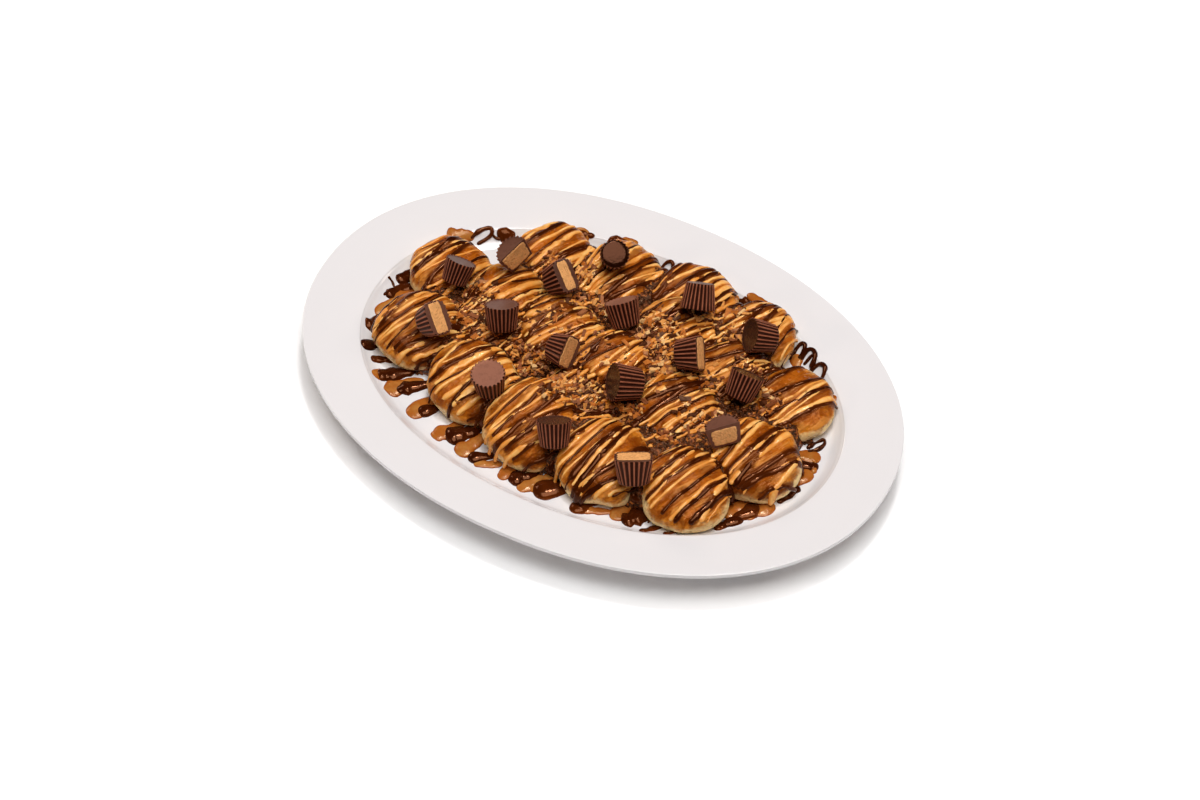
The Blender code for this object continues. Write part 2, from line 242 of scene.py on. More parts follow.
def ripple(points, wavelength, seed):
    """Smooth noise of about unit size: a sum of sine waves that run in random directions."""
    waves = 14
    draw = np.random.default_rng(seed)
    ways = draw.normal(size=(waves, points.shape[-1]))
    ways /= np.linalg.norm(ways, axis=1, keepdims=True)
    pitch = 2 * math.pi / (wavelength * draw.uniform(0.7, 1.5, waves))
    phase = draw.uniform(0, 2 * math.pi, waves)
    return np.sin(points @ (ways * pitch[:, None]).T + phase).sum(axis=-1) / math.sqrt(waves / 2)


def turned(lean, heading, turn=0.0):
    """The matrix of a turn about the own axis, then a lean of the top towards the heading."""
    lean, heading, turn = (math.radians(angle) for angle in (lean, heading, turn))
    about_up = np.array([
        [math.cos(turn), -math.sin(turn), 0], [math.sin(turn), math.cos(turn), 0], [0, 0, 1],
    ])
    hinge = np.array([-math.sin(heading), math.cos(heading), 0.0])
    cross = np.array([[0, -hinge[2], hinge[1]], [hinge[2], 0, -hinge[0]], [-hinge[1], hinge[0], 0]])
    tilt = np.eye(3) + math.sin(lean) * cross + (1 - math.cos(lean)) * cross @ cross
    return tilt @ about_up


def unit(vectors):
    """The vectors at length one."""
    return vectors / np.maximum(np.linalg.norm(vectors, axis=-1, keepdims=True), 1e-9)


def full_turn(count):
    """Angles spread evenly round a circle."""
    return np.arange(count) * 2 * math.pi / count


def way(heading):
    """The level direction at a heading in degrees from +X."""
    return np.array([math.cos(math.radians(heading)), math.sin(math.radians(heading))])


class Shells:
    """Gathers closed bodies, each a grid of rings between two poles, and makes one mesh of them."""

    def __init__(self):
        self.points = []
        self.faces = []
        self.values = {}
        self.count = 0

    def add(self, rings, first, last, **values):
        """rings is rows x columns x 3, with columns counted anticlockwise seen from the last pole."""
        rows, cols = rings.shape[:2]
        here = np.arange(cols)
        after = (here + 1) % cols
        row = np.arange(rows - 1)[:, None] * cols
        quads = np.stack([row + here, row + after, row + cols + after, row + cols + here], -1)
        low, high = rows * cols, rows * cols + 1
        top = (rows - 1) * cols
        cap_first = np.stack([after, here, np.full(cols, low)], -1)
        cap_last = np.stack([top + here, top + after, np.full(cols, high)], -1)
        for block in (quads.reshape(-1, 4), cap_first, cap_last):
            self.faces += (block + self.count).tolist()
        self.points.append(np.concatenate([rings.reshape(-1, 3), [first, last]]))
        for name, value in values.items():
            value = np.broadcast_to(value, (rows, cols))
            ends = [value[0].mean(), value[-1].mean()]
            self.values.setdefault(name, []).append(np.concatenate([value.ravel(), ends]))
        self.count += rows * cols + 2

    def build(self, name, material):
        """The joined mesh as an object at the origin, with its values as point attributes."""
        values = {key: np.concatenate(parts) for key, parts in self.values.items()}
        return new_piece(name, np.concatenate(self.points), self.faces, material, values)


def new_piece(name, points, faces, material, values):
    """A smooth-shaded mesh object from points in millimetres."""
    mesh = bpy.data.meshes.new(name)
    mesh.from_pydata((points * MM).tolist(), [], faces)
    mesh.shade_smooth()
    for key, value in values.items():
        attribute = mesh.attributes.new(key, "FLOAT", "POINT")
        attribute.data.foreach_set("value", value.astype(np.float32))
    mesh.materials.append(material)
    mesh.validate()
    piece = bpy.data.objects.new(name, mesh)
    bpy.context.scene.collection.objects.link(piece)
    return piece


def place(piece, slot, *nodes):
    """Ties a piece to the CAD: its body and the nodes that it stands for. Its finish, slot, is not used.
    """
    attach(piece, "root")
    if nodes:
        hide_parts(*nodes)


# ---------------------------------------------------------------- platter

def oval(inset, height, angles):
    """The superellipse |x/a|^p + |y/b|^p = 1 whose half axes shrink with the inset."""
    a = HALF_LENGTH - inset * RIM_AT_ENDS
    b = HALF_WIDTH - inset * RIM_AT_SIDES
    c, s = np.cos(angles), np.sin(angles)
    x = a * np.sign(c) * np.abs(c) ** (2 / OVAL_POWER)
    y = b * np.sign(s) * np.abs(s) ** (2 / OVAL_POWER)
    return np.stack(np.broadcast_arrays(x, y, height), -1)


def platter_rings(sides):
    """The well's floor, wall and rim, then the lip, the underside and the foot ring, as loops."""
    line = smooth_line(PLATTER_TOP + PLATTER_UNDER, PROFILE_STEPS)
    line[:, 0] = np.clip(line[:, 0], 0.0, PLATTER_UNDER[-1][0])
    line[:, 1] = np.clip(line[:, 1], 0.0, RIM_TOP)
    rings = oval(line[:, 0, None], line[:, 1, None], full_turn(sides)[None])
    shares = np.array([0.25, 0.5, 0.75, 0.92])[:, None, None] * [1.0, 1.0, 0.0]
    floor = rings[0] * shares + [0, 0, WELL_FLOOR]
    under = rings[-1] * shares[::-1] + [0, 0, WELL_UNDERSIDE]
    return np.concatenate([floor, rings, under])


def platter_height(x, y):
    """The height of the platter's upper side. The inset of each spot is found by halving."""
    low, high = np.zeros(np.shape(x)), np.full(np.shape(x), WIDEST_INSET)
    for _ in range(24):
        inset = (low + high) / 2
        a = HALF_LENGTH - inset * RIM_AT_ENDS
        b = HALF_WIDTH - inset * RIM_AT_SIDES
        inside = np.abs(x / a) ** OVAL_POWER + np.abs(y / b) ** OVAL_POWER < 1
        low, high = np.where(inside, inset, low), np.where(inside, high, inset)
    line = smooth_line(PLATTER_TOP, PROFILE_STEPS)[::-1]
    return np.interp((low + high) / 2, line[:, 0], line[:, 1])


# ---------------------------------------------------------------- pancakes

def lens(radius, phase, line, sides):
    """Rings of a profile line of reach and rise, with the outline 1 + w (cos 2a + 0.4 cos 3a)."""
    angles = full_turn(sides)
    wobble = np.cos(2 * angles + phase) + 0.4 * np.cos(3 * angles - phase)
    reach = line[:, 0, None] * radius * (1 + OUTLINE_WOBBLE * wobble)
    rise = np.broadcast_to(line[:, 1, None] * THICKNESS - THICKNESS / 2, reach.shape)
    return np.stack([reach * np.cos(angles), reach * np.sin(angles), rise], -1)


def pancake_middles():
    """Each pancake's middle: its place in plan, and the height at which its low edge just clears."""
    coarse = np.array(PROFILE + ((0.001, 1.0),))
    middles = []
    for number, cake in enumerate(PANCAKES):
        rings = lens(cake.radius, PHASE_STEP * number, coarse, 16) @ turned(cake.lean, cake.heading).T
        middles.append([cake.x, cake.y, WELL_FLOOR + RESTING_GAP + cake.lift - rings[..., 2].min()])
    return np.array(middles)


def pancake_rings(number, middles, lumps):
    """The finished grid of one pancake.

    A lumpy lens is posed about its middle. Then each arm from the middle is shortened by
    (1 + sum (reach / room)^p)^(-1/p) over the contact planes, which rounds the edges between them,
    and what would sink into the platter is lifted onto it.
    """
    cake = PANCAKES[number]
    line = smooth_line(((0.0, 0.0), (0.45, 0.0)) + PROFILE + ((0.0, 1.0),), 10)[1:-1]
    line[:, 0] = np.maximum(line[:, 0], 0.004)
    rings = lens(cake.radius, PHASE_STEP * number, line, PANCAKE_SIDES)
    rise = np.clip(line[:, 1, None], 0, 1)
    bumps = 0.45 * ripple(rings, 20.0, 100 + number) + 0.12 * ripple(rings, 6.5, 200 + number)
    rings = rings * (1 + lumps * bumps / 20.0)[..., None]
    upper = np.clip(rise * 2 - 0.6, 0, 1)
    rings[..., 2] += lumps * 0.35 * ripple(rings, 14.0, 300 + number) * upper
    arms = rings @ turned(cake.lean, cake.heading).T
    steps = np.delete(middles, number, axis=0) - middles[number]
    axis = np.array([
        math.sin(PILE_LEAN) * math.cos(PILE_HEADING),
        math.sin(PILE_LEAN) * math.sin(PILE_HEADING),
        math.cos(PILE_LEAN),
    ])
    ways = steps + (steps @ axis)[:, None] * axis * (FLATNESS**2 - 1)
    radii = np.delete(np.array([other.radius for other in PANCAKES], float), number)
    share = 0.5 + (cake.radius**2 - radii**2) / (2 * (ways * steps).sum(axis=1))
    normals = unit(ways)
    room = share * (steps * normals).sum(axis=1) - RESTING_GAP / 2
    press = np.clip(arms @ normals.T / room, 0, None)
    kept = (1 + (press**PRESS_POWER).sum(axis=-1)) ** (-1 / PRESS_POWER)
    points = middles[number] + arms * kept[..., None]
    floor = platter_height(points[..., 0], points[..., 1]) + CLEAR_OF_PLATTER
    points[..., 2] = np.maximum(points[..., 2], floor)
    return points, np.broadcast_to(rise, kept.shape)


# ---------------------------------------------------------------- height field

# The one wide hollow in the pile, under a cup: x and y of its middle and its radius.
HOLLOW = (-6.0, 34.0, 16.0)

# In millimetres: how far the sauce in a seam and the crumbs in a gap lie below what bridges them, how
# far the crumbs rise above the bed at most, how deep a gap is that they fill, how thickly they lie
# where they are densest, and how far their core stands off the plate.
SEAM_DEPTH = 2.6
HEAP_RISE = 2.5
GAP_DEPTH = 2.5
CRUMB_DEPTH = 0.9
CORE_LIFT = 0.3


class Field:
    """Heights over a square grid in plan, and which pancake is on top at each spot."""

    step = 0.5
    left, front = -130.0, -95.0
    columns, rows = 521, 391

    def __init__(self):
        x = self.left + self.step * np.arange(self.columns)
        y = self.front + self.step * np.arange(self.rows)
        self.x, self.y = np.meshgrid(x, y)
        self.floor = platter_height(self.x, self.y)
        self.top = self.floor.copy()
        self.owner = np.full(self.top.shape, -1)

    def cells(self, x, y):
        """The row and the column of the cells at some places."""
        column = np.clip(((x - self.left) / self.step + 0.5).astype(int), 0, self.columns - 1)
        row = np.clip(((y - self.front) / self.step + 0.5).astype(int), 0, self.rows - 1)
        return row, column

    def add(self, rings, number):
        """Raises the field to a grid of points, first filled in to a third of its spacing."""
        share = (np.arange(3) / 3)[:, None, None, None]
        down = (rings[None, :-1] * (1 - share) + rings[None, 1:] * share).reshape(-1, *rings.shape[1:])
        down = down.transpose(1, 0, 2)
        across = down[None] * (1 - share) + np.roll(down, -1, axis=0)[None] * share
        points = across.reshape(-1, 3)
        layer = np.zeros(self.top.shape)
        np.maximum.at(layer, self.cells(points[:, 0], points[:, 1]), points[:, 2])
        higher = layer > self.top
        self.top[higher] = layer[higher]
        self.owner[higher] = number

    def settle(self):
        """Works out the layers that sauces and crumbs lie on, and the normals of three of them.

        drape has pinholes closed, bed has narrow gaps closed as well, and seam runs a little below
        the bed. heap is a lumpy surface across the wide gaps that falls away round the pile, and it
        counts where it stands above a deep gap. cover is drape with the heap in those gaps, and
        crust has the strewn crumbs on it.
        """
        self.drape = closed(self.top, 4, 1.3)
        self.bed = closed(self.top, 9, 3.0)
        self.seam = np.maximum(self.bed - SEAM_DEPTH, self.floor)
        bridged = closed(self.top, 16, 4.0)
        inside = shrunk(grown((self.owner >= 0).astype(float), 14), 22) > 0.5
        plan = np.stack([self.x, self.y], -1)
        hollow = np.hypot(self.x - HOLLOW[0], self.y - HOLLOW[1]) < HOLLOW[2]
        inside |= hollow
        over_bed = blurred(np.where(hollow, bridged, self.bed), 4.0) + HEAP_RISE
        self.heap = np.minimum(bridged - SEAM_DEPTH, over_bed)
        self.heap = self.heap + 0.35 * ripple(plan, 5.0, 31) + 0.3 * ripple(plan, 2.2, 32)
        fall = np.sqrt(np.clip(2 * blurred(inside.astype(float), 6.0) - 0.9, 0, 1))
        self.heap = self.floor + CORE_LIFT + (self.heap - self.floor - CORE_LIFT) * fall
        deep = bridged - self.top > GAP_DEPTH
        self.filled = inside & deep & (self.heap > self.top + 0.3)
        self.cover = np.where(self.filled, self.heap, self.drape)
        strewn = sum(
            np.exp(-((self.x - patch.x) / patch.across) ** 2 - ((self.y - patch.y) / patch.along) ** 2)
            * patch.count / (patch.across * patch.along) for patch in PATCHES
        )
        self.crust = blurred(self.cover + CRUMB_DEPTH * np.clip(strewn / 3 - 0.1, 0, 1), 1.0)
        self.normals = {}
        for name in ("seam", "floor", "crust"):
            slope_y, slope_x = np.gradient(blurred(getattr(self, name), 1.2), self.step)
            self.normals[name] = unit(np.stack([-slope_x, -slope_y, np.ones_like(slope_x)], -1))

    def read(self, layer, x, y):
        """A layer at any places, between its four neighbours."""
        column = np.clip((x - self.left) / self.step, 0, self.columns - 1.001)
        row = np.clip((y - self.front) / self.step, 0, self.rows - 1.001)
        i, j = column.astype(int), row.astype(int)
        u, v = column - i, row - j
        if layer.ndim == 3:
            u, v = u[..., None], v[..., None]
        return (
            layer[j, i] * (1 - u) * (1 - v) + layer[j, i + 1] * u * (1 - v)
            + layer[j + 1, i] * (1 - u) * v + layer[j + 1, i + 1] * u * v
        )


def grown(layer, reach):
    """The highest value within a square of cells."""
    for axis in (0, 1):
        layer = np.max([np.roll(layer, shift, axis) for shift in range(-reach, reach + 1)], axis=0)
    return layer


def shrunk(layer, reach):
    """The lowest value within a square of cells."""
    return -grown(-layer, reach)


def closed(layer, reach, spread):
    """The layer with gaps up to twice the reach bridged, then blurred."""
    return blurred(shrunk(grown(layer, reach), reach), spread)


def blurred(layer, spread):
    """A Gaussian blur with its spread in cells, as a product of spectra."""
    rows, cols = layer.shape
    pad = 16
    wide = np.pad(layer, pad, mode="edge")
    fy = np.fft.fftfreq(rows + 2 * pad)[:, None]
    fx = np.fft.rfftfreq(cols + 2 * pad)[None]
    weight = np.exp(-2 * (math.pi * spread) ** 2 * (fx**2 + fy**2))
    return np.fft.irfft2(np.fft.rfft2(wide) * weight, wide.shape)[pad:-pad, pad:-pad]


# ---------------------------------------------------------------- sauces

# Spacings in millimetres: of the places at which a path is laid on the field, of the sections of a
# bead, and of the knots of the noise along it. A rounded end's length is a share of the width.
WALK_STEP = 0.2
SECTION_STEP = 0.9
KNOT_STEP = 3.5
END_LENGTH = 0.55


def walk(field, layer, path):
    """A path in plan laid on a layer of the field, and the length run so far in space."""
    path = np.asarray(path, float)
    if len(path) > 2:
        path = smooth_line(path, 8)
    along = np.concatenate([[0], np.cumsum(np.linalg.norm(np.diff(path, axis=0), axis=1))])
    fine = np.linspace(0, along[-1], max(8, int(along[-1] / WALK_STEP)))
    x, y = np.interp(fine, along, path[:, 0]), np.interp(fine, along, path[:, 1])
    line = np.stack([x, y, field.read(layer, x, y)], -1)
    return line, np.concatenate([[0], np.cumsum(np.linalg.norm(np.diff(line, axis=0), axis=1))])


def bead(
    shells, field, layer, path, width, height, seed, sides=10, uneven=0.2, sink=0.15, swell=(1.0, 1.0),
):
    """A flattened bead of sauce: at angle f its section is w/2 cos f across and h sin f up.

    Its lower half is shallower, and sink is the share of the height by which it lies in its layer.
    Width and height vary along it with smooth noise and with swell, a list of factors from end to
    end, and fall to nothing at the rounded ends as a quarter circle.
    """
    fine, length = walk(field, getattr(field, layer), path)
    total = length[-1]
    cap = min(width * END_LENGTH, total * 0.49)
    rounding = cap * (1 - np.cos(np.linspace(0, math.pi / 2, 7)))
    middle = np.linspace(cap, total - cap, max(3, int((total - 2 * cap) / SECTION_STEP) + 2))
    along = np.concatenate([rounding[:-1], middle, total - rounding[-2::-1]])
    line = np.stack([np.interp(along, length, fine[:, k]) for k in range(3)], -1)
    draw = np.random.default_rng(seed)
    knots = draw.normal(size=(2, max(4, int(total / KNOT_STEP) + 3)))
    last = knots.shape[1] - 1
    noise = [np.interp(along / total * last, np.arange(last + 1), row) for row in knots]
    factor = np.clip(1 + uneven * noise[0], 0.45, 1.7)
    factor = factor * np.interp(along / total, np.linspace(0, 1, len(swell)), swell)
    ends = np.clip(np.minimum(along, total - along) / cap, 0, 1)
    taper = np.sqrt(np.clip(1 - (1 - ends) ** 2, 0.0, 1))
    wide, high = width / 2 * factor * taper, height * factor**0.5 * taper
    ahead = unit(np.gradient(line, axis=0))
    up = field.read(field.normals[layer], line[:, 0], line[:, 1])
    side = unit(np.cross(ahead, up))
    up = np.cross(side, ahead)
    angles = -full_turn(sides)
    across, lift = np.cos(angles), np.sin(angles)
    lift = np.where(lift > 0, lift, 0.35 * lift)
    rings = (
        line[:, None] + side[:, None] * (wide[:, None] * across)[..., None]
        + up[:, None] * (high[:, None] * (lift - sink))[..., None]
    )[1:-1]
    ridge = np.broadcast_to(np.clip(np.sin(angles), 0, 1), rings.shape[:2])
    thin = np.clip(draw.uniform(0, 1) + 0.25 * noise[1], 0, 1)[1:-1, None]
    shells.add(rings, line[0], line[-1], ridge=ridge, thin=thin)


# ---------------------------------------------------------------- shading helpers

def wire(tree, socket, value):
    """Links a socket, or sets a plain value."""
    if isinstance(value, bpy.types.NodeSocket):
        tree.links.new(value, socket)
    else:
        socket.default_value = value


def shade(tree, kind, inputs=None, **settings):
    """A shader node with its settings and inputs."""
    node = tree.nodes.new("ShaderNode" + kind)
    for key, value in settings.items():
        setattr(node, key, value)
    for key, value in (inputs or {}).items():
        wire(tree, node.inputs[key], value)
    return node


def mixed(tree, share, first, second):
    """Two colours mixed by a share."""
    node = shade(tree, "Mix", data_type="RGBA", clamp_factor=True)
    wire(tree, node.inputs[0], share)
    wire(tree, node.inputs[6], first)
    wire(tree, node.inputs[7], second)
    return node.outputs[2]


def ranged(tree, value, low, high, to_low=0.0, to_high=1.0):
    """A value carried smoothly from one range to another."""
    node = shade(tree, "MapRange", {
        "Value": value, "From Min": low, "From Max": high, "To Min": to_low, "To Max": to_high,
    }, interpolation_type="SMOOTHSTEP")
    return node.outputs[0]


def computed(tree, operation, *values):
    """One step of arithmetic."""
    node = shade(tree, "Math", operation=operation)
    for socket, value in zip(node.inputs, values):
        wire(tree, socket, value)
    return node.outputs[0]


def times(tree, first, second):
    """Two values multiplied."""
    return computed(tree, "MULTIPLY", first, second)


def painted(tree, name):
    """A point attribute of the mesh."""
    return shade(tree, "Attribute", attribute_name=name, attribute_type="GEOMETRY").outputs["Fac"]


def effect(name, inputs, outputs, fill):
    """A shader node group, built once. fill makes its nodes and names the value of each output."""
    group = bpy.data.node_groups.get(name)
    if group:
        return group
    group = bpy.data.node_groups.new(name, "ShaderNodeTree")
    for label, default in inputs.items():
        socket = group.interface.new_socket(label, in_out="INPUT", socket_type="NodeSocketFloat")
        socket.default_value = default
    for label in outputs:
        group.interface.new_socket(label, in_out="OUTPUT", socket_type="NodeSocketFloat")
    start = group.nodes.new("NodeGroupInput").outputs
    end = group.nodes.new("NodeGroupOutput").inputs
    where = shade(group, "TexCoord").outputs["Object"]
    for label, value in fill(group, start, where).items():
        group.links.new(value, end[label])
    return group


def fill_mottle(group, start, where):
    """Soft patches with a finer breakup on them."""
    broad = shade(group, "TexNoise", {
        "Vector": where, "Scale": start["Scale"], "Detail": 3.0, "Roughness": 0.55, "Distortion": 0.4,
    })
    fine = shade(group, "TexNoise", {
        "Vector": where, "Scale": times(group, start["Scale"], 5.3), "Detail": 2.0,
    })
    offset = computed(group, "SUBTRACT", fine.outputs[0], 0.5)
    blend = times(group, offset, start["Breakup"])
    total = computed(group, "ADD", broad.outputs[0], blend)
    low = computed(group, "SUBTRACT", start["Level"], start["Softness"])
    high = computed(group, "ADD", start["Level"], start["Softness"])
    return {"Mask": ranged(group, total, low, high)}


def fill_streaks(group, start, where):
    """Long thin patches that run the way the sauces were drawn."""
    along = shade(group, "Mapping", {
        "Vector": where, "Rotation": (0.0, 0.0, math.radians(64)), "Scale": (7.0, 1.0, 1.6),
    }, vector_type="TEXTURE")
    noise = shade(group, "TexNoise", {
        "Vector": along.outputs[0], "Scale": start["Scale"], "Detail": 2.0, "Distortion": 0.3,
    })
    low = computed(group, "SUBTRACT", start["Level"], start["Softness"])
    high = computed(group, "ADD", start["Level"], start["Softness"])
    return {"Mask": ranged(group, noise.outputs[0], low, high)}


def fill_grain(group, start, where):
    """Fine grain with pits, as a height."""
    fine = shade(group, "TexNoise", {"Vector": where, "Scale": start["Scale"], "Detail": 4.0})
    pits = shade(group, "TexVoronoi", {
        "Vector": where, "Scale": times(group, start["Scale"], 0.55), "Randomness": 1.0,
    })
    pit = times(group, ranged(group, pits.outputs["Distance"], 0.0, 0.45), start["Pits"])
    return {"Height": computed(group, "ADD", fine.outputs[0], pit)}


def applied(tree, group, **values):
    """What a shared effect puts out when it is placed in a material with its own values."""
    node = shade(tree, "Group", node_tree=group)
    for key, value in values.items():
        node.inputs[key].default_value = value
    return node.outputs[0]


def mottle(tree, scale, level=0.5, softness=0.12):
    """The patches of the shared mottle effect as a mask."""
    defaults = {"Scale": 100.0, "Level": 0.5, "Softness": 0.1, "Breakup": 0.4}
    group = effect("Mottle", defaults, ["Mask"], fill_mottle)
    return applied(tree, group, Scale=scale, Level=level, Softness=softness)


def streaks(tree, scale, softness=0.07):
    """The long patches of the shared streak effect as a mask."""
    defaults = {"Scale": 400.0, "Level": 0.55, "Softness": 0.07}
    group = effect("Streaks", defaults, ["Mask"], fill_streaks)
    return applied(tree, group, Scale=scale, Softness=softness)


def grain(tree, scale, pits, strength, distance, under=None):
    """A bumped normal from the shared grain effect, over another if given. distance is in metres."""
    group = effect("Grain", {"Scale": 500.0, "Pits": 0.5}, ["Height"], fill_grain)
    height = applied(tree, group, Scale=scale, Pits=pits)
    bump = shade(tree, "Bump", {"Strength": strength, "Distance": distance, "Height": height})
    if under:
        wire(tree, bump.inputs["Normal"], under)
    return bump.outputs["Normal"]


def finish(name, **settings):
    """A material with its node tree and the inputs of its Principled shader, which hold the
    settings that are the same all over."""
    material = bpy.data.materials.new(name)
    material.use_nodes = True
    tree = material.node_tree
    shader = tree.nodes["Principled BSDF"]
    for key, value in settings.items():
        shader.inputs[key.replace("_", " ")].default_value = value
    return material, tree, shader.inputs


def tint(colour):
    """A colour with full alpha."""
    return (*colour, 1.0)


# ---------------------------------------------------------------- finishes

def glaze_finish(settings):
    """Warm white glaze, a little uneven in gloss, and bare clay under the foot ring."""
    material, tree, inputs = finish("platter_glaze", Coat_Weight=0.25, Coat_Roughness=0.05)
    bare = painted(tree, "bare")
    patches = mottle(tree, 14.0, softness=0.3)
    white = mixed(tree, patches, tint(settings.glaze), tint([c * 0.985 for c in settings.glaze]))
    wire(tree, inputs["Base Color"], mixed(tree, bare, white, tint(settings.clay)))
    gloss = ranged(tree, patches, 0, 1, 0.13, 0.20)
    wire(tree, inputs["Roughness"], computed(tree, "MAXIMUM", gloss, times(tree, bare, 0.8)))
    wire(tree, inputs["Normal"], grain(tree, 160.0, 0.1, 0.12, 0.0004))
    return material


def batter_finish(settings):
    """Cream sides that brown towards the top, with darker griddle patches and open pores."""
    material, tree, inputs = finish(
        "browned_batter", Specular_IOR_Level=0.35, Specular_Tint=(1.0, 0.48, 0.22, 1.0),
        Subsurface_Weight=0.06, Subsurface_Scale=0.003,
    )
    rise = painted(tree, "rise")
    uneven = ranged(tree, mottle(tree, 60.0, softness=0.3), 0, 1, -0.12, 0.12)
    broken = computed(tree, "ADD", rise, uneven)
    colour = mixed(tree, ranged(tree, broken, 0.45, 0.70), tint(settings.cream), tint(settings.golden))
    colour = mixed(tree, ranged(tree, broken, 0.60, 0.92), colour, tint(settings.brown))
    patches = mottle(tree, 75.0, level=0.56, softness=0.09)
    dark = times(tree, patches, ranged(tree, rise, 0.35, 0.7, 0.0, 0.6))
    colour = mixed(tree, dark, colour, tint(settings.griddled))
    freckles = mottle(tree, 420.0, level=0.62, softness=0.06)
    colour = mixed(tree, times(tree, freckles, 0.5), colour, tint(settings.griddled))
    relief = 0.5
    for scale, lift, stain in ((300.0, 1.0, settings.film), (260.0, -0.7, settings.griddled)):
        streak = times(tree, streaks(tree, scale), ranged(tree, rise, 0.4, 0.8, 0.0, 0.6))
        colour = mixed(tree, streak, colour, tint(stain))
        relief = computed(tree, "MULTIPLY_ADD", streak, lift, relief)
    breakup = ranged(tree, streaks(tree, 420.0, softness=0.2), 0, 1, -0.18, 0.18)
    for sauce, low, high, share, stain in (
        ("nut", 0.4, 0.95, 0.9, settings.film), ("chocolate", 0.2, 0.85, 0.95, settings.soaked),
    ):
        coat = ranged(tree, computed(tree, "ADD", painted(tree, sauce), breakup), low, high, 0.0, share)
        colour = mixed(tree, coat, colour, tint(stain))
    wire(tree, inputs["Base Color"], colour)
    wire(tree, inputs["Roughness"], ranged(tree, mottle(tree, 130.0, softness=0.25), 0, 1, 0.16, 0.32))
    lines = shade(tree, "Bump", {"Strength": 0.8, "Distance": 0.0008, "Height": relief})
    wire(tree, inputs["Normal"], grain(tree, 620.0, 0.9, 0.5, 0.0006, lines.outputs["Normal"]))
    return material


def chocolate_sauce_finish(settings):
    """Dark glossy chocolate sauce."""
    material, tree, inputs = finish(
        "chocolate_sauce", Specular_IOR_Level=0.4, Specular_Tint=(1.0, 0.42, 0.2, 1.0),
    )
    ridge, thin = painted(tree, "ridge"), painted(tree, "thin")
    patches = mottle(tree, 180.0, softness=0.3)
    darker = tint([c * 0.6 for c in settings.chocolate])
    body = mixed(tree, patches, tint(settings.chocolate), darker)
    runny = times(tree, ranged(tree, ridge, 0.0, 0.9, 1.0, 0.25), thin)
    wire(tree, inputs["Base Color"], mixed(tree, runny, body, tint(settings.runny)))
    wire(tree, inputs["Roughness"], ranged(tree, patches, 0, 1, 0.08, 0.16))
    wire(tree, inputs["Normal"], grain(tree, 230.0, 0.15, 0.25, 0.0006))
    return material


def nut_sauce_finish(settings, name="nut_sauce", shade_by=(1.0, 1.0, 1.0)):
    """Tan nut butter sauce with a painted highlight, paler along its ridge. shade_by scales its red,
    green and blue.
    """
    material, tree, inputs = finish(
        name, Specular_IOR_Level=0.5, Specular_Tint=(1.0, 0.78, 0.55, 1.0), Subsurface_Weight=0.08,
        Subsurface_Scale=0.002,
    )
    film, nut, pale = (
        tint(np.multiply(tone, shade_by)) for tone in (settings.film, settings.nut, settings.pale)
    )
    ridge, thin = painted(tree, "ridge"), painted(tree, "thin")
    patches = mottle(tree, 110.0, softness=0.25)
    body = mixed(tree, ranged(tree, ridge, 0.1, 0.8), film, nut)
    body = mixed(tree, times(tree, patches, 0.5), body, film)
    # The crest colour is a painted highlight along the top of each strand, fainter where the strand runs
    # thin.
    highlight_crest = times(tree, ranged(tree, ridge, 0.6, 1.0), ranged(tree, patches, 0, 1, 0.9, 0.3))
    highlight_crest = times(tree, highlight_crest, ranged(tree, thin, 0.2, 1.0, 1.0, 0.15))
    wire(tree, inputs["Base Color"], mixed(tree, highlight_crest, body, pale))
    wire(tree, inputs["Roughness"], ranged(tree, patches, 0, 1, 0.12, 0.26))
    wire(tree, inputs["Normal"], grain(tree, 260.0, 0.35, 0.45, 0.0007))
    return material


def crumb_finish(name, first, second, third):
    """Chopped pieces whose colour runs through three tones by each piece's own draw."""
    material, tree, inputs = finish(
        name, Specular_IOR_Level=0.35, Specular_Tint=(1.0, 0.65, 0.42, 1.0),
    )
    tone = painted(tree, "tone")
    colour = mixed(tree, ranged(tree, tone, 0.35, 0.6), tint(first), tint(second))
    colour = mixed(tree, ranged(tree, tone, 0.7, 0.95), colour, tint(third))
    fleck = mottle(tree, 700.0, softness=0.2)
    darker = shade(tree, "HueSaturation", {"Value": 0.7, "Color": colour}).outputs[0]
    wire(tree, inputs["Base Color"], mixed(tree, fleck, colour, darker))
    wire(tree, inputs["Roughness"], ranged(tree, fleck, 0, 1, 0.4, 0.6))
    wire(tree, inputs["Normal"], grain(tree, 1400.0, 0.4, 0.4, 0.0003))
    return material


def crumb_core_finish(settings):
    """What lies between the pancakes below the loose bits: bits soaked in chocolate sauce, with painted
    shade that darkens the deep gaps.
    """
    material, tree, inputs = finish(
        "crumb_core", Specular_IOR_Level=0.5, Specular_Tint=(1.0, 0.55, 0.32, 1.0),
    )
    # The darkest tone, three tenths of the dark bits' colour, is partly soaked chocolate and partly
    # painted shade for the gaps between the pancakes.
    soaked = tint([c * 0.3 for c in settings.dark])
    colour = mixed(tree, mottle(tree, 330.0, level=0.55, softness=0.08), soaked, tint(settings.dark))
    for scale, level, tone in ((420.0, 0.6, settings.milk), (520.0, 0.64, settings.toasted)):
        colour = mixed(tree, mottle(tree, scale, level=level, softness=0.04), colour, tint(tone))
    wire(tree, inputs["Base Color"], colour)
    wire(tree, inputs["Roughness"], ranged(tree, mottle(tree, 300.0), 0, 1, 0.12, 0.4))
    wire(tree, inputs["Normal"], grain(tree, 500.0, 0.8, 0.9, 0.0015))
    return material


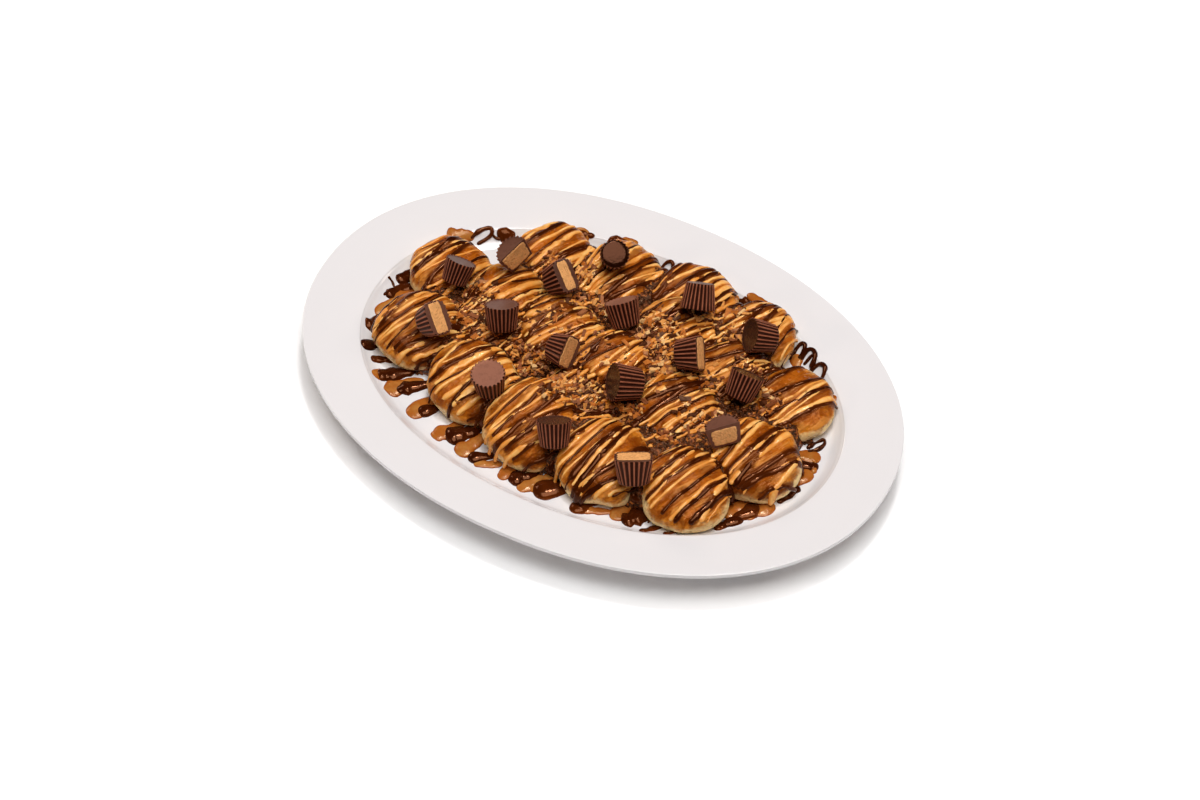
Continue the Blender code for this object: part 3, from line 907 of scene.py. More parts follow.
def cup_finish(settings):
    """Moulded chocolate: ridges paler with a painted highlight, grooves dark with painted shade, and a
    face that runs from dark to pale.
    """
    material, tree, inputs = finish(
        "cup_chocolate", Specular_IOR_Level=0.3, Specular_Tint=(1.0, 0.4, 0.22, 1.0),
    )
    ridge, face, tone = (painted(tree, name) for name in ("ridge", "face", "tone"))
    # Painted light on the flutes: the ridges get a painted highlight, broken up by patches, and the rest
    # keeps the groove colour, darkened with painted shade.
    highlight_crest = ranged(tree, ridge, 0.45, 1.0)
    highlighted = times(tree, highlight_crest, ranged(tree, mottle(tree, 160.0, softness=0.3), 0, 1, 0.65, 1.0))
    side = mixed(tree, highlighted, tint(settings.groove), tint(settings.ridge))
    top = mixed(tree, tone, tint(settings.face_dark), tint(settings.face_pale))
    speck = mottle(tree, 500.0, level=0.58, softness=0.1)
    dusty = shade(tree, "HueSaturation", {"Value": 0.72, "Color": top}).outputs[0]
    top = mixed(tree, times(tree, speck, 0.55), top, dusty)
    wire(tree, inputs["Base Color"], mixed(tree, face, side, top))
    matte = ranged(tree, computed(tree, "SUBTRACT", tone, face), -1.0, -0.7, 0.12, 0.34)
    wire(tree, inputs["Roughness"], matte)
    wire(tree, inputs["Normal"], grain(tree, 900.0, 0.3, 0.25, 0.0003))
    return material


def filling_finish(settings):
    """Grainy nut filling of a cut cup."""
    material, tree, inputs = finish("nut_filling", Specular_IOR_Level=0.15)
    patches = mottle(tree, 260.0, softness=0.25)
    colour = mixed(tree, patches, tint(settings.filling), tint([c * 0.8 for c in settings.filling]))
    specks = mottle(tree, 800.0, level=0.61, softness=0.06)
    colour = mixed(tree, times(tree, specks, 0.5), colour, tint(settings.fleck))
    wire(tree, inputs["Base Color"], colour)
    wire(tree, inputs["Roughness"], ranged(tree, patches, 0, 1, 0.7, 0.85))
    wire(tree, inputs["Normal"], grain(tree, 1300.0, 0.8, 0.7, 0.0005))
    return material


# ---------------------------------------------------------------- cups

# The cups whose face bulges, and how pale each face is, from dark and smooth to pale and matte.
DOMED = ("cup_04",)
FACE_TONES = {
    "cup_01": 0.35, "cup_02": 0.38, "cup_03": 0.35, "cup_04": 0.0, "cup_05": 0.5, "cup_06": 0.5,
    "cup_07": 1.0, "cup_08": 0.3, "cup_09": 0.1, "cup_10": 0.45, "cup_11": 0.4, "cup_12": 1.0,
    "cup_13": 0.1, "cup_14": 0.1, "cup_15": 0.18, "cup_16": 0.5, "cup_17": 0.35,
}

# The filling that shows on each cut face: half sizes and the middle's place on the face. It stands
# proud of the face by its rise.
FILLING_RISE = 0.22
FILLINGS = (
    ("cup_02", 7.6, 5.7, 0.0, 0.2),
    ("cup_03", 4.4, 7.6, 0.4, 0.0),
    ("cup_05", 4.6, 8.0, 0.0, 0.0),
    ("cup_10", 5.8, 8.0, -0.8, 0.0),
    ("cup_11", 5.8, 7.9, 0.0, 0.0),
    ("cup_16", 6.8, 4.9, 0.0, -0.2),
    ("cup_17", 7.6, 5.6, 0.0, 0.8),
)

# Points round a cup, points across a half's cut, and the centre of a half's ends as a share of the
# wide radius.
CUP_COLUMNS = 240
CUT_COLUMNS = 39
HALF_CENTRE = 0.42

# How far a face dips in its middle, in millimetres, below zero where it bulges.
DISH = 0.4
DOME = -0.9

# The levels at a cup's ends: how high above the end, then for a face how much of its dip, what share
# of the radius, and how deep the flutes are.
BASE_LEVELS = ((0.25, 0.3, 0.0), (0.25, 0.65, 0.0), (0.1, 0.86, 0.0), (0.0, 0.95, 0.4))
FACE_LEVELS = (
    (-0.15, 0.0, 1.0, 1.2), (0.0, 0.0, 0.985, 1.2), (-0.05, 0.0, 0.955, 0.7), (0.0, 0.6, 0.90, 0.15),
    (0.0, 1.0, 0.8, 0.0), (0.0, 1.1, 0.6, 0.0), (0.0, 1.2, 0.35, 0.0), (0.0, 1.25, 0.15, 0.0),
)
STUB_LEVELS = (
    (-0.08, 0.0, 0.998, 1.1), (0.0, 0.0, 0.985, 1.1), (0.0, 0.0, 0.94, 0.5), (0.0, 0.0, 0.85, 0.0),
    (0.0, 0.0, 0.6, 0.0), (0.0, 0.0, 0.35, 0.0), (0.0, 0.0, 0.15, 0.0),
)


def cup_loop(kept):
    """The unit outline of a cup, how deep in a flute each point is, and which points are flutes.

    A whole cup is a circle. A half is the half circle behind its cut and the straight cut itself.
    """
    if kept != "half":
        angles = full_turn(CUP_COLUMNS)
        loop = np.stack([np.cos(angles), np.sin(angles)], -1)
        return loop, groove_depth(angles), np.ones(CUP_COLUMNS)
    angles = math.pi / 2 + np.linspace(0, math.pi, CUP_COLUMNS // 2 + 1)
    round_side = np.stack([np.cos(angles), np.sin(angles)], -1)
    round_side[[0, -1], 0] = 0.0
    plain = np.zeros(CUT_COLUMNS)
    cut = np.stack([plain, np.linspace(-1, 1, CUT_COLUMNS + 2)[1:-1]], -1)
    depth = np.concatenate([groove_depth(angles), plain])
    depth[[0, len(angles) - 1]] = 0.0
    return np.concatenate([round_side, cut]), depth, np.concatenate([np.ones(len(angles)), plain])


def groove_depth(angles):
    """0 on a ridge and 1 in a groove, even in between: (1 - cos 24a) / 2."""
    return (1 - np.cos(FLUTES * angles)) / 2


def cup_rings(cup):
    """The levels of a cup from its base to its face, about its own middle.

    At a level the radius runs evenly from base to wide end, less the flute depth in the grooves,
    and on the two ends the loops draw in to a centre while the surface dips. A stub turns from
    round to the superellipse |x|^p + |y|^p = 1 towards its face.
    """
    loop, groove, fluted = cup_loop(cup.kept)
    half = cup.length / 2
    start = (CUP_HEIGHT - cup.length) / CUP_HEIGHT
    base = BASE_RADIUS + (WIDE_RADIUS - BASE_RADIUS) * start
    angles = np.arctan2(loop[:, 1], loop[:, 0])
    dish = DOME if cup.node in DOMED else DISH
    square, face_levels = 1.0, FACE_LEVELS
    if cup.kept == "stub":
        power = STUB_POWER
        square = (np.abs(np.cos(angles)) ** power + np.abs(np.sin(angles)) ** power) ** (-1 / power)
        face_levels = STUB_LEVELS
    levels = [(-half + rise, share, flute) for rise, share, flute in BASE_LEVELS]
    levels += [(rise, 1.0, 1.0) for rise in np.linspace(-half + 0.3, half - 0.45, 9)]
    levels += [(half + rise - dish * dip, share, flute) for rise, dip, share, flute in face_levels]
    height, scale, deep = (np.array(column)[:, None] for column in zip(*levels))
    share = np.clip((height + half) / cup.length, 0, 1)
    radius = base + (WIDE_RADIUS - base) * share
    radius = radius * (1 + (square - 1) * share) - FLUTE_DEPTH * groove * deep
    flat = radius[..., None] * loop
    centre = np.array([-HALF_CENTRE * WIDE_RADIUS if cup.kept == "half" else 0.0, 0.0])
    flat = centre + (flat - centre) * scale[..., None]
    rings = np.concatenate([flat, np.broadcast_to(height[..., None], (*flat.shape[:2], 1))], -1)
    ridge = 1 - groove * np.clip(deep, 0, 1)
    face = np.maximum(np.clip((0.97 - scale) / 0.03, 0, 1), 1 - fluted)
    ends = [np.array([*centre, height[0, 0]]), np.array([*centre, height[-1, 0]])]
    return rings * cup.size, ridge, face, [end * cup.size for end in ends]


def cup_frame(cup, rings):
    """The turn of a cup and the shift that puts its bounding box over the CAD node's."""
    turn = turned(cup.lean, cup.heading, cup.turn)
    posed = rings @ turn.T
    low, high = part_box(cup.node)
    middle = (np.array(low) + np.array(high)) / 2 / MM
    return turn, middle - (posed.max(axis=(0, 1)) + posed.min(axis=(0, 1))) / 2


def filling_rings(half_a, half_b, seed):
    """A slab: superellipses |x/a|^8 + |y/b|^8 = 1 with a wavy edge, drawn in over a grainy top."""
    angles = full_turn(96)
    cosines, sines = np.cos(angles), np.sin(angles)
    swell = (np.abs(cosines) ** 8 + np.abs(sines) ** 8) ** (-1 / 8)
    swell = swell * (1 + 0.02 * ripple(np.stack([cosines, sines], -1) * 8, 3.0, seed + 50))
    unit_loop = np.stack([cosines * swell, sines * swell], -1)
    scale = np.array([0.5, 0.98, 1.0, 0.985, 0.96, 0.9, 0.8, 0.7, 0.6, 0.5, 0.4, 0.3, 0.2, 0.1])[:, None]
    height = np.array([-0.5, -0.5, -0.3, 0.0, 0.6, 0.9, 1, 1, 1, 1, 1, 1, 1, 1])[:, None] * FILLING_RISE
    flat = unit_loop * scale[..., None] * [half_a, half_b]
    height = height + 0.07 * ripple(flat, 1.4, seed) * (height > 0)
    return np.concatenate([flat, height[..., None]], -1)


# ---------------------------------------------------------------- pools and loops on the plate

# How a pool runs out: wider and lower than its row says, and fuller at its outer end. Nut butter is
# darker on the plate than in strands, by these shares of its red, green and blue.
POOL_SPREAD = 1.06
POOL_SAG = 0.75
POOL_SWELL = (1.2, 1.15, 0.9, 0.7)
NUT_POOL_SHADE = (0.46, 0.34, 0.235)

# Each sauce's pools on the plate, in millimetres and degrees: x and y of the middle, length, width,
# the way it points, height.
Pool = namedtuple("Pool", "x y length width heading height")
POOLS = {
    "nut": (
        (-117.5, 2.5, 9, 5, 60, 1.4), (-120.0, -10.5, 11, 7, 80, 1.6),
        (-99.5, -47.5, 9, 6.5, 40, 1.2), (-88.0, -50.0, 15, 8, 47, 1.5),
        (-71.2, -56.8, 15, 8.5, 65, 1.6), (-53.2, -64.0, 14, 7, 66, 1.5),
        (-38.0, -66.8, 14, 7.5, 70, 1.6), (-27.0, -72.5, 9, 5, 25, 1.1),
        (-13.5, -71.2, 10, 6.5, 75, 1.4), (-1.0, -73.5, 10, 6, 60, 1.3),
        (3.5, -70.5, 10, 5.5, 70, 1.2), (33.5, -71.5, 12, 5, 20, 1.1),
        (47.2, -66.5, 11, 6.5, 72, 1.3), (94.8, -38.5, 12, 7.5, 60, 1.3),
        (108.5, -29.5, 12, 8, 60, 1.5), (113.5, 9.5, 10, 7, 20, 1.5),
        (116.5, -2.5, 10, 8.5, 60, 1.7), (107.0, 45.0, 9, 6, -50, 1.4),
        (-108.5, 48.5, 14, 7, 35, 1.5), (-31.0, 84.5, 12, 6, 15, 1.5),
        (45.5, 82.5, 12, 5, -10, 1.4), (80.0, 61.0, 9, 6, -45, 1.6),
    ),
    "chocolate": (
        (-121.0, 12.5, 9, 6, 75, 2.2), (-117.5, 7.5, 7, 4.5, 40, 2.0),
        (-122.3, 0.8, 8, 4.5, 70, 2.0), (-119.6, -20.8, 11, 6.5, 75, 2.6),
        (-114.5, -35.8, 7, 5.5, 55, 2.2), (-106.3, -40.2, 7, 4.5, 30, 2.0),
        (-95.2, -45.0, 14, 6.5, 37, 2.8), (-82.2, -47.8, 15, 6.5, 43, 2.8),
        (-67.3, -56.0, 11, 7.5, 50, 3.0), (-46.4, -62.5, 13, 8.5, 47, 3.2),
        (-31.4, -70.0, 9, 5.8, 35, 2.4), (-7.4, -72.0, 9, 7, 42, 2.6),
        (9.4, -70.5, 14, 9.5, 42, 3.2), (28.2, -72.8, 10, 6.5, 50, 2.4),
        (54.6, -66.3, 12, 8.5, 52, 3.0), (64.8, -69.8, 8, 3.6, 60, 1.6),
        (75.0, -67.5, 5, 3, 60, 1.4), (99.3, -43.3, 8, 5.0, 55, 2.2),
        (94.6, -50.0, 7, 4.0, 65, 1.8), (103.8, -34.2, 10, 7, 52, 2.6),
        (115.4, -13.3, 9, 5, 75, 2.0), (116.0, 4.3, 8, 5, 15, 2.0), (-36.5, 80.5, 15, 8.5, 25, 3.0),
        (-89.0, 61.5, 10, 7, 35, 2.6), (-51.5, 79.5, 8, 3.5, 20, 1.8),
        (38.5, 80.0, 9, 4.5, 10, 2.2),
    ),
}

# Chocolate strands that run over several pancakes: width and the places they pass.
LONG_STRANDS = (
    (3.2, ((50, 14.5), (41, -3), (33, -22), (25, -45), (20.5, -68))),
    (3.6, ((8, 28), (-2.5, 16.5), (-7.5, 4), (-10, -8.5))),
    (3.2, ((-23, 29.5), (-32, 23), (-38.5, 13), (-41, -4))),
    (3.0, ((28.5, 53.5), (20, 47.5), (14.5, 37), (12, 28))),
    (3.0, ((87, 50), (75.5, 39.5), (69.5, 27), (68.5, 15))),
)

# Thin loops where a stroke turned back on the plate: width, height and the places it passes.
LOOPS = {
    "nut": (
        (1.6, 1.2, ((-124, 11), (-121.5, 15), (-118, 17))),
        (2.4, 1.4, ((-4, 78), (-1.5, 83.5), (1, 82), (1, 77))),
        (2.4, 1.4, ((-62, 74), (-57, 80.5), (-52, 81), (-50, 76))),
        (2.6, 1.5, ((104, 3), (110, 7), (117, 7.5), (119.5, 1))),
    ),
    "chocolate": (
        (2.2, 1.5, ((-104, 50), (-101, 56), (-97.5, 59.5), (-95.5, 58), (-97, 54.5), (-100, 50))),
        (1.8, 1.3, ((-96, 58), (-93, 57.5), (-90, 59))),
        (1.2, 0.9, ((-127.5, 7), (-125, 6.5), (-121.5, 4), (-118, 3.5))),
        (2.0, 1.4, ((-124.5, -3), (-123.5, 2), (-120, 5.5), (-116, 6))),
        (2.4, 1.8, ((76, 60), (76.5, 66), (78.5, 69), (81, 67.5), (80.5, 62))),
        (2.2, 1.7, ((81.5, 62), (83, 66.5), (86, 67), (88.5, 63.5), (88.5, 59))),
        (2.2, 1.7, ((89, 57.5), (92, 61), (95.5, 60.5), (97, 57), (96.5, 53))),
        (2.4, 1.8, ((109.5, 13.5), (112, 19), (114.5, 22.5), (116, 20), (114.5, 15.5), (111, 11.5))),
        (2.0, 1.5, ((-9, 78), (-8, 83), (-5, 85), (-3, 83), (-4, 78))),
        (2.2, 1.6, ((12, 84), (14.5, 88), (17.5, 88), (18, 84))),
        (2.0, 1.5, ((27, 78), (29.5, 82.5), (33, 82), (33.5, 77))),
        (1.8, 1.4, ((84, 60), (87, 65), (90, 61))),
    ),
}


# ---------------------------------------------------------------- crumbs

# Where chopped pieces lie, in millimetres: x, y, half sizes along x and y, how many, how deep they
# heap, how coarse. The last row is a thin strewing over the whole pile, and sauce isn't drawn on it.
Patch = namedtuple("Patch", "x y across along count depth coarse", defaults=(1.0,))
PATCHES = (
    Patch(-66, -2, 17, 12, 620, 1.6),
    Patch(-76, 13, 10, 7, 260, 1.2),
    Patch(-52, 46, 10, 8, 200, 1.0),
    Patch(-37, 48, 7, 8, 200, 1.2),
    Patch(-36, -9, 12, 6, 330, 1.6),
    Patch(-2, -21, 17, 10, 640, 1.8),
    Patch(-9, -31, 9, 6, 170, 1.0),
    Patch(15, 31, 14, 11, 480, 1.4),
    Patch(22, 23, 9, 6, 250, 1.6),
    Patch(30, 52, 8, 6, 150, 1.0),
    Patch(52, 17, 9, 5, 200, 1.6),
    Patch(66, 34, 8, 5, 120, 0.9),
    Patch(54, -8, 9, 8, 130, 1.0),
    Patch(50, -22, 6, 4, 90, 1.6),
    Patch(27, 13, 6, 7, 160, 1.6),
    Patch(84, 21, 8, 9, 90, 0.9),
    Patch(24, -17, 9, 5, 200, 1.6),
    Patch(50, 50, 7, 5, 90, 0.8),
    Patch(-20, 38, 14, 6, 260, 1.4),
    Patch(65, -6, 4, 9, 90, 1.4),
    Patch(20, 19, 9, 6, 64, 2.2, 1.55),
    Patch(43, 64, 9, 4, 60, 1.2, 1.3),
    Patch(0, 10, 60, 34, 420, 0.6),
)


# A box of unit size: its corners, and its faces with their outer sides out.
BOX_CORNERS = np.array([[x, y, z] for x in (-1, 1) for y in (-1, 1) for z in (-1, 1)], float) / 2
BOX_FACES = np.array([
    [0, 1, 3, 2], [4, 6, 7, 5], [0, 4, 5, 1], [2, 3, 7, 6], [0, 2, 6, 4], [1, 5, 7, 3],
])


def crumb_chunks(field, share, seed):
    """Chopped shreds: boxes whose corners are pushed about, tipped at random, laid in the patches.

    Most point roughly the way the sauces were drawn. share is how many of each patch's bits are
    made here.
    """
    draw = np.random.default_rng(seed)
    spots = []
    for patch in PATCHES:
        number = int(patch.count * share)
        reach = np.sqrt(draw.uniform(0, 1, number)) * draw.uniform(0.6, 1.25, number)
        around = draw.uniform(0, 2 * math.pi, number)
        x = patch.x + patch.across * reach * np.cos(around)
        y = patch.y + patch.along * reach * np.sin(around)
        lift = 0.8 * patch.depth * draw.uniform(0, 1, number) * np.clip(1.1 - reach, 0, 1)
        spots.append(np.stack([x, y, lift, np.full(number, patch.coarse)], -1))
    spots = np.concatenate(spots)
    number = len(spots)
    size = np.clip(draw.lognormal(0.2, 0.4, number), 0.6, 2.3) * spots[:, 3]
    span = size[:, None] * np.stack([
        draw.uniform(0.9, 2.3, number), draw.uniform(0.5, 1.0, number), draw.uniform(0.4, 0.8, number),
    ], -1)
    points = BOX_CORNERS * span[:, None] * (1 + draw.uniform(-0.35, 0.35, (number, 8, 3)))
    yaw = np.radians(draw.normal(60, 50, number))
    ahead = unit(np.stack([np.cos(yaw), np.sin(yaw), draw.normal(0, 0.35, number)], -1))
    side = unit(np.cross(unit(np.array([0, 0, 1.0]) + draw.normal(0, 0.4, (number, 3))), ahead))
    spin = np.stack([ahead, side, np.cross(ahead, side)], -1)
    points = np.einsum("nij,nkj->nki", spin, points)
    rise = field.read(field.cover, spots[:, 0], spots[:, 1]) + spots[:, 2] + 0.25 * size
    points += np.stack([spots[:, 0], spots[:, 1], rise], -1)[:, None]
    faces = (np.arange(number)[:, None, None] * 8 + BOX_FACES).reshape(-1, 4)
    tone = np.repeat(draw.uniform(0, 1, number), 8)
    return points.reshape(-1, 3), faces.tolist(), {"tone": tone}


# ---------------------------------------------------------------- settings

def colour_setting(label, value, help_text):
    """A colour setting."""
    return bpy.props.FloatVectorProperty(
        name=label, description=help_text, subtype="COLOR", size=3, min=0.0, max=1.0, default=value,
    )


def number_setting(label, value, help_text, low=0.0, high=10000.0, **extra):
    """A setting that is a plain number."""
    return bpy.props.FloatProperty(
        name=label, description=help_text, default=value, min=low, max=high, **extra,
    )


def length_setting(label, value, help_text):
    """A length setting, given here in millimetres."""
    return number_setting(label, value * MM, help_text, unit="LENGTH", precision=5)


def angle_setting(label, value, help_text):
    """An angle setting, given here in degrees."""
    return number_setting(label, math.radians(value), help_text, -math.pi, math.pi, subtype="ANGLE")


def power_setting(label, value, help_text):
    """The power of a light in watts."""
    return number_setting(label, value, help_text, unit="POWER")


class PlatterSettings(bpy.types.PropertyGroup):
    """Sizes and colours of the platter."""

    glaze: colour_setting("Glaze", (0.795, 0.772, 0.780), "Colour of the glaze")
    clay: colour_setting("Clay", (0.62, 0.56, 0.50), "Colour of the bare foot ring")
    sides: bpy.props.IntProperty(
        name="Sides", description="Points round each loop of the platter", default=240, min=48, max=480,
    )


class PancakeSettings(bpy.types.PropertyGroup):
    """Shape and colours of the pancakes."""

    lumps: number_setting("Lumps", 1.0, "How uneven the surface is", high=2.0)
    cream: colour_setting("Cream", (1.0, 0.72, 0.33), "Pale batter low on the sides")
    golden: colour_setting("Golden", (0.66, 0.215, 0.018), "Batter between side and top")
    brown: colour_setting("Brown", (0.42, 0.100, 0.006), "Browned top")
    griddled: colour_setting("Griddled", (0.17, 0.028, 0.001), "Darkest patches")
    film: colour_setting("Film", (0.74, 0.30, 0.060), "Nut butter sauce that ran out thin")
    soaked: colour_setting("Soaked", (0.13, 0.022, 0.001), "Batter beside the chocolate strands")


class SauceSettings(bpy.types.PropertyGroup):
    """Widths and colours of the two sauces."""

    chocolate_width: length_setting("Chocolate Width", 2.0, "Width of a chocolate strand")
    nut_width: length_setting("Nut Butter Width", 2.3, "Width of a nut butter strand")
    chocolate: colour_setting("Chocolate", (0.040, 0.006, 0.001), "Chocolate sauce")
    runny: colour_setting("Runny", (0.17, 0.032, 0.003), "Chocolate sauce where it is thin")
    film: colour_setting("Film", (0.60, 0.165, 0.013), "Nut butter where it runs out thin")
    nut: colour_setting("Nut Butter", (0.84, 0.315, 0.050), "Nut butter sauce")
    # Crest is a painted highlight along the top of each nut butter strand, on the strands and on the
    # pools.
    pale: colour_setting("Crest", (1.0, 0.58, 0.19), "Nut butter along the crest of a strand")


class CrumbSettings(bpy.types.PropertyGroup):
    """Colours of the chopped pieces."""

    dark: colour_setting("Dark", (0.085, 0.022, 0.007), "Darkest chocolate bits")
    milk: colour_setting("Milk", (0.30, 0.085, 0.026), "Middle chocolate bits")
    dusty: colour_setting("Dusty", (0.52, 0.21, 0.085), "Palest chocolate bits")
    toasted: colour_setting("Toasted", (0.56, 0.160, 0.024), "Darkest nut bits")
    tan: colour_setting("Tan", (0.82, 0.34, 0.080), "Middle nut bits")
    blond: colour_setting("Blond", (0.96, 0.58, 0.24), "Palest nut bits")


class CupSettings(bpy.types.PropertyGroup):
    """Colours of the chocolate cups and their filling."""

    # Groove is the chocolate's own brown darkened with painted shade for the flutes; Ridge is a painted
    # highlight on the ridges.
    groove: colour_setting("Groove", (0.022, 0.004, 0.002), "Chocolate in the flutes")
    ridge: colour_setting("Ridge", (0.370, 0.118, 0.060), "Chocolate on the worn ridges")
    face_dark: colour_setting("Dark Face", (0.014, 0.003, 0.001), "Smooth dark face")
    face_pale: colour_setting("Pale Face", (0.29, 0.120, 0.076), "Matte pale face")
    filling: colour_setting("Filling", (0.95, 0.46, 0.165), "Nut filling")
    fleck: colour_setting("Fleck", (0.40, 0.16, 0.045), "Flecks in the filling")


class StageSettings(bpy.types.PropertyGroup):
    """Camera, lights and floor."""

    azimuth: angle_setting("Azimuth", 28.8, "How far the camera stands to the right of the front")
    elevation: angle_setting("Elevation", 51.3, "How high the camera stands")
    distance: length_setting("Distance", 2067.0, "From the camera to the middle of the rim")
    drop: length_setting("Aim Below", 13.0, "How far below the middle of the rim the camera aims")
    lens: number_setting("Lens", 123.87, "Focal length in millimetres", 20.0, 300.0, unit="CAMERA")
    bank: power_setting("Bank", 204.0, "Power of the wide light overhead")
    side: power_setting("Side", 80.0, "Power of the light far to the right, behind")
    back: power_setting("Back", 125.0, "Power of the light far to the left, behind")
    key: power_setting("Key", 74.0, "Power of the small light above, a little behind")
    front: power_setting("Front", 1.7, "Power of the low light in front on the left")
    sky: number_setting("Sky", 0.01, "Strength of the even light from all round")


GROUPS = {
    "platter_dish": PlatterSettings,
    "platter_pancakes": PancakeSettings,
    "platter_sauces": SauceSettings,
    "platter_crumbs": CrumbSettings,
    "platter_cups": CupSettings,
    "platter_stage": StageSettings,
}

# Seeds of the random draws.
STRAND_SEED = 7
SEAM_SEED = 8
POOL_SEED = 11

# What the operators share, worked out once.
pile = {}


def pile_field():
    """The height field over the platter and all pancakes, worked out once."""
    if "field" not in pile:
        field = Field()
        middles = pancake_middles()
        lumps = bpy.context.scene.platter_pancakes.lumps
        pile["rings"] = [pancake_rings(number, middles, lumps) for number in range(len(PANCAKES))]
        for number, (points, _) in enumerate(pile["rings"]):
            field.add(points, number)
        field.settle()
        pile["field"] = field
    return pile["field"]


# ---------------------------------------------------------------- operators

class PLATTER_OT_dish(bpy.types.Operator):
    """The glazed oval platter"""

    bl_idname = "platter.dish"
    bl_label = "Platter"

    def execute(self, context):
        settings = context.scene.platter_dish
        rings = platter_rings(settings.sides)[::-1]
        bare = np.clip((0.7 - rings[..., 2]) / 0.5, 0, 1)
        shells = Shells()
        shells.add(rings, (0, 0, WELL_UNDERSIDE), (0, 0, WELL_FLOOR), bare=bare)
        place(shells.build("oval_platter", glaze_finish(settings)), "platter_glaze", "platter")
        return {"FINISHED"}


class PLATTER_OT_pancakes(bpy.types.Operator):
    """The griddled pancakes, pressed against each other"""

    bl_idname = "platter.pancakes"
    bl_label = "Pancakes"

    def execute(self, context):
        batter = batter_finish(context.scene.platter_pancakes)
        field = pile_field()
        layers = {sauce: sauce_coat(field, sauce, spread) for sauce, (spread, _) in COATS.items()}
        for cake, (points, rise) in zip(PANCAKES, pile["rings"]):
            upper = np.clip(rise * 4 - 1.4, 0, 1)
            coats = {
                sauce: field.read(layer, points[..., 0], points[..., 1]) * upper
                for sauce, layer in layers.items()
            }
            swollen = sum(thickness * coats[sauce] for sauce, (_, thickness) in COATS.items())
            points = points + swollen[..., None] * np.array([0.0, 0.0, 1.0])
            shells = Shells()
            shells.add(points, points[0].mean(axis=0), points[-1].mean(axis=0), rise=rise, **coats)
            name = cake.node.replace("pan", "griddle_")
            place(shells.build(name, batter), "browned_batter", cake.node)
        return {"FINISHED"}


# A seam joins pancakes whose edges are no further apart than its reach, and lies at least its rise
# above the well, in millimetres.
SEAM_REACH = 3.0
SEAM_RISE = 5.5


def seam_paths(field):
    """The seams between touching pancakes, as lines square to the step from middle to middle.

    A line is kept where the bed stands well above the plate.
    """
    for number, cake in enumerate(PANCAKES):
        for other in PANCAKES[number + 1:]:
            step = np.array([other.x - cake.x, other.y - cake.y], float)
            apart = np.linalg.norm(step)
            if apart > cake.radius + other.radius + SEAM_REACH:
                continue
            share = 0.5 + (cake.radius - other.radius) / (2 * apart)
            middle = np.array([cake.x, cake.y]) + share * step
            along = np.linspace(-0.7, 0.7, 29)[:, None] * cake.radius
            path = middle + along * np.array([-step[1], step[0]]) / apart
            deep = field.read(field.bed, path[:, 0], path[:, 1]) > WELL_FLOOR + SEAM_RISE
            if deep.sum() > 8:
                yield path[deep][:: max(1, deep.sum() // 8)]


def heap_slab(field):
    """Closed bodies over the filled cells: the heap's height on top, the plate below, walls between.

    They take every second cell of the field, and reach under the pancakes beside them, so that no
    bare plate shows below an overhang.
    """
    x, y, floor, height, heap, filled, owner = (
        layer[::2, ::2] for layer in (
            field.x, field.y, field.floor, field.top, field.heap, field.filled, field.owner,
        )
    )
    shape = x.shape
    near = grown(filled.astype(float), 5) > 0.5
    kept = (filled | (near & (owner >= 0)))[:-1, :-1]
    kept[[0, -1]] = kept[:, [0, -1]] = False
    index = np.arange(shape[0] * shape[1]).reshape(shape)
    corners = [index[:-1, :-1], index[:-1, 1:], index[1:, 1:], index[1:, :-1]]
    below = shape[0] * shape[1]
    tops = np.stack(corners, -1)[kept]
    faces = [tops, tops[:, ::-1] + below]
    for side, (shift, axis) in enumerate(((1, 0), (-1, 1), (-1, 0), (1, 1))):
        edge = kept & ~np.roll(kept, shift, axis)
        start, end = corners[side][edge], corners[(side + 1) % 4][edge]
        faces.append(np.stack([end, start, start + below, end + below], -1))
    used, faces = np.unique(np.concatenate(faces), return_inverse=True)
    top = np.where(filled, heap, np.minimum(heap, height - 1.0))
    layers = np.maximum(top, floor + 2 * CORE_LIFT), floor + CORE_LIFT
    points = np.concatenate([np.stack([x, y, layer], -1).reshape(-1, 3) for layer in layers])
    return points[used], faces.reshape(-1, 4).tolist()


def strand_path(field, number, heading, front, back, past):
    """Where a strand crosses its own pancake: the stretch on which that pancake is on top.

    past is how far in millimetres it runs on beyond that stretch at its front.
    """
    cake = PANCAKES[number]
    ahead = way(heading)
    right = np.array([ahead[1], -ahead[0]])
    along = np.linspace(-cake.radius - 3, cake.radius + 3, 120)
    shift = (front + back) / 2 + (back - front) / cake.radius * along
    places = np.array([cake.x, cake.y]) + along[:, None] * ahead + shift[:, None] * right
    own = field.owner[field.cells(places[:, 0], places[:, 1])] == number
    if own.sum() < 12:
        return None
    first, last = np.flatnonzero(own)[[0, -1]]
    first = int(np.clip(first - past / (along[1] - along[0]), 0, last - 8))
    last = min(last + 3, len(places) - 1)
    return places[np.linspace(first, last, 7).astype(int)]


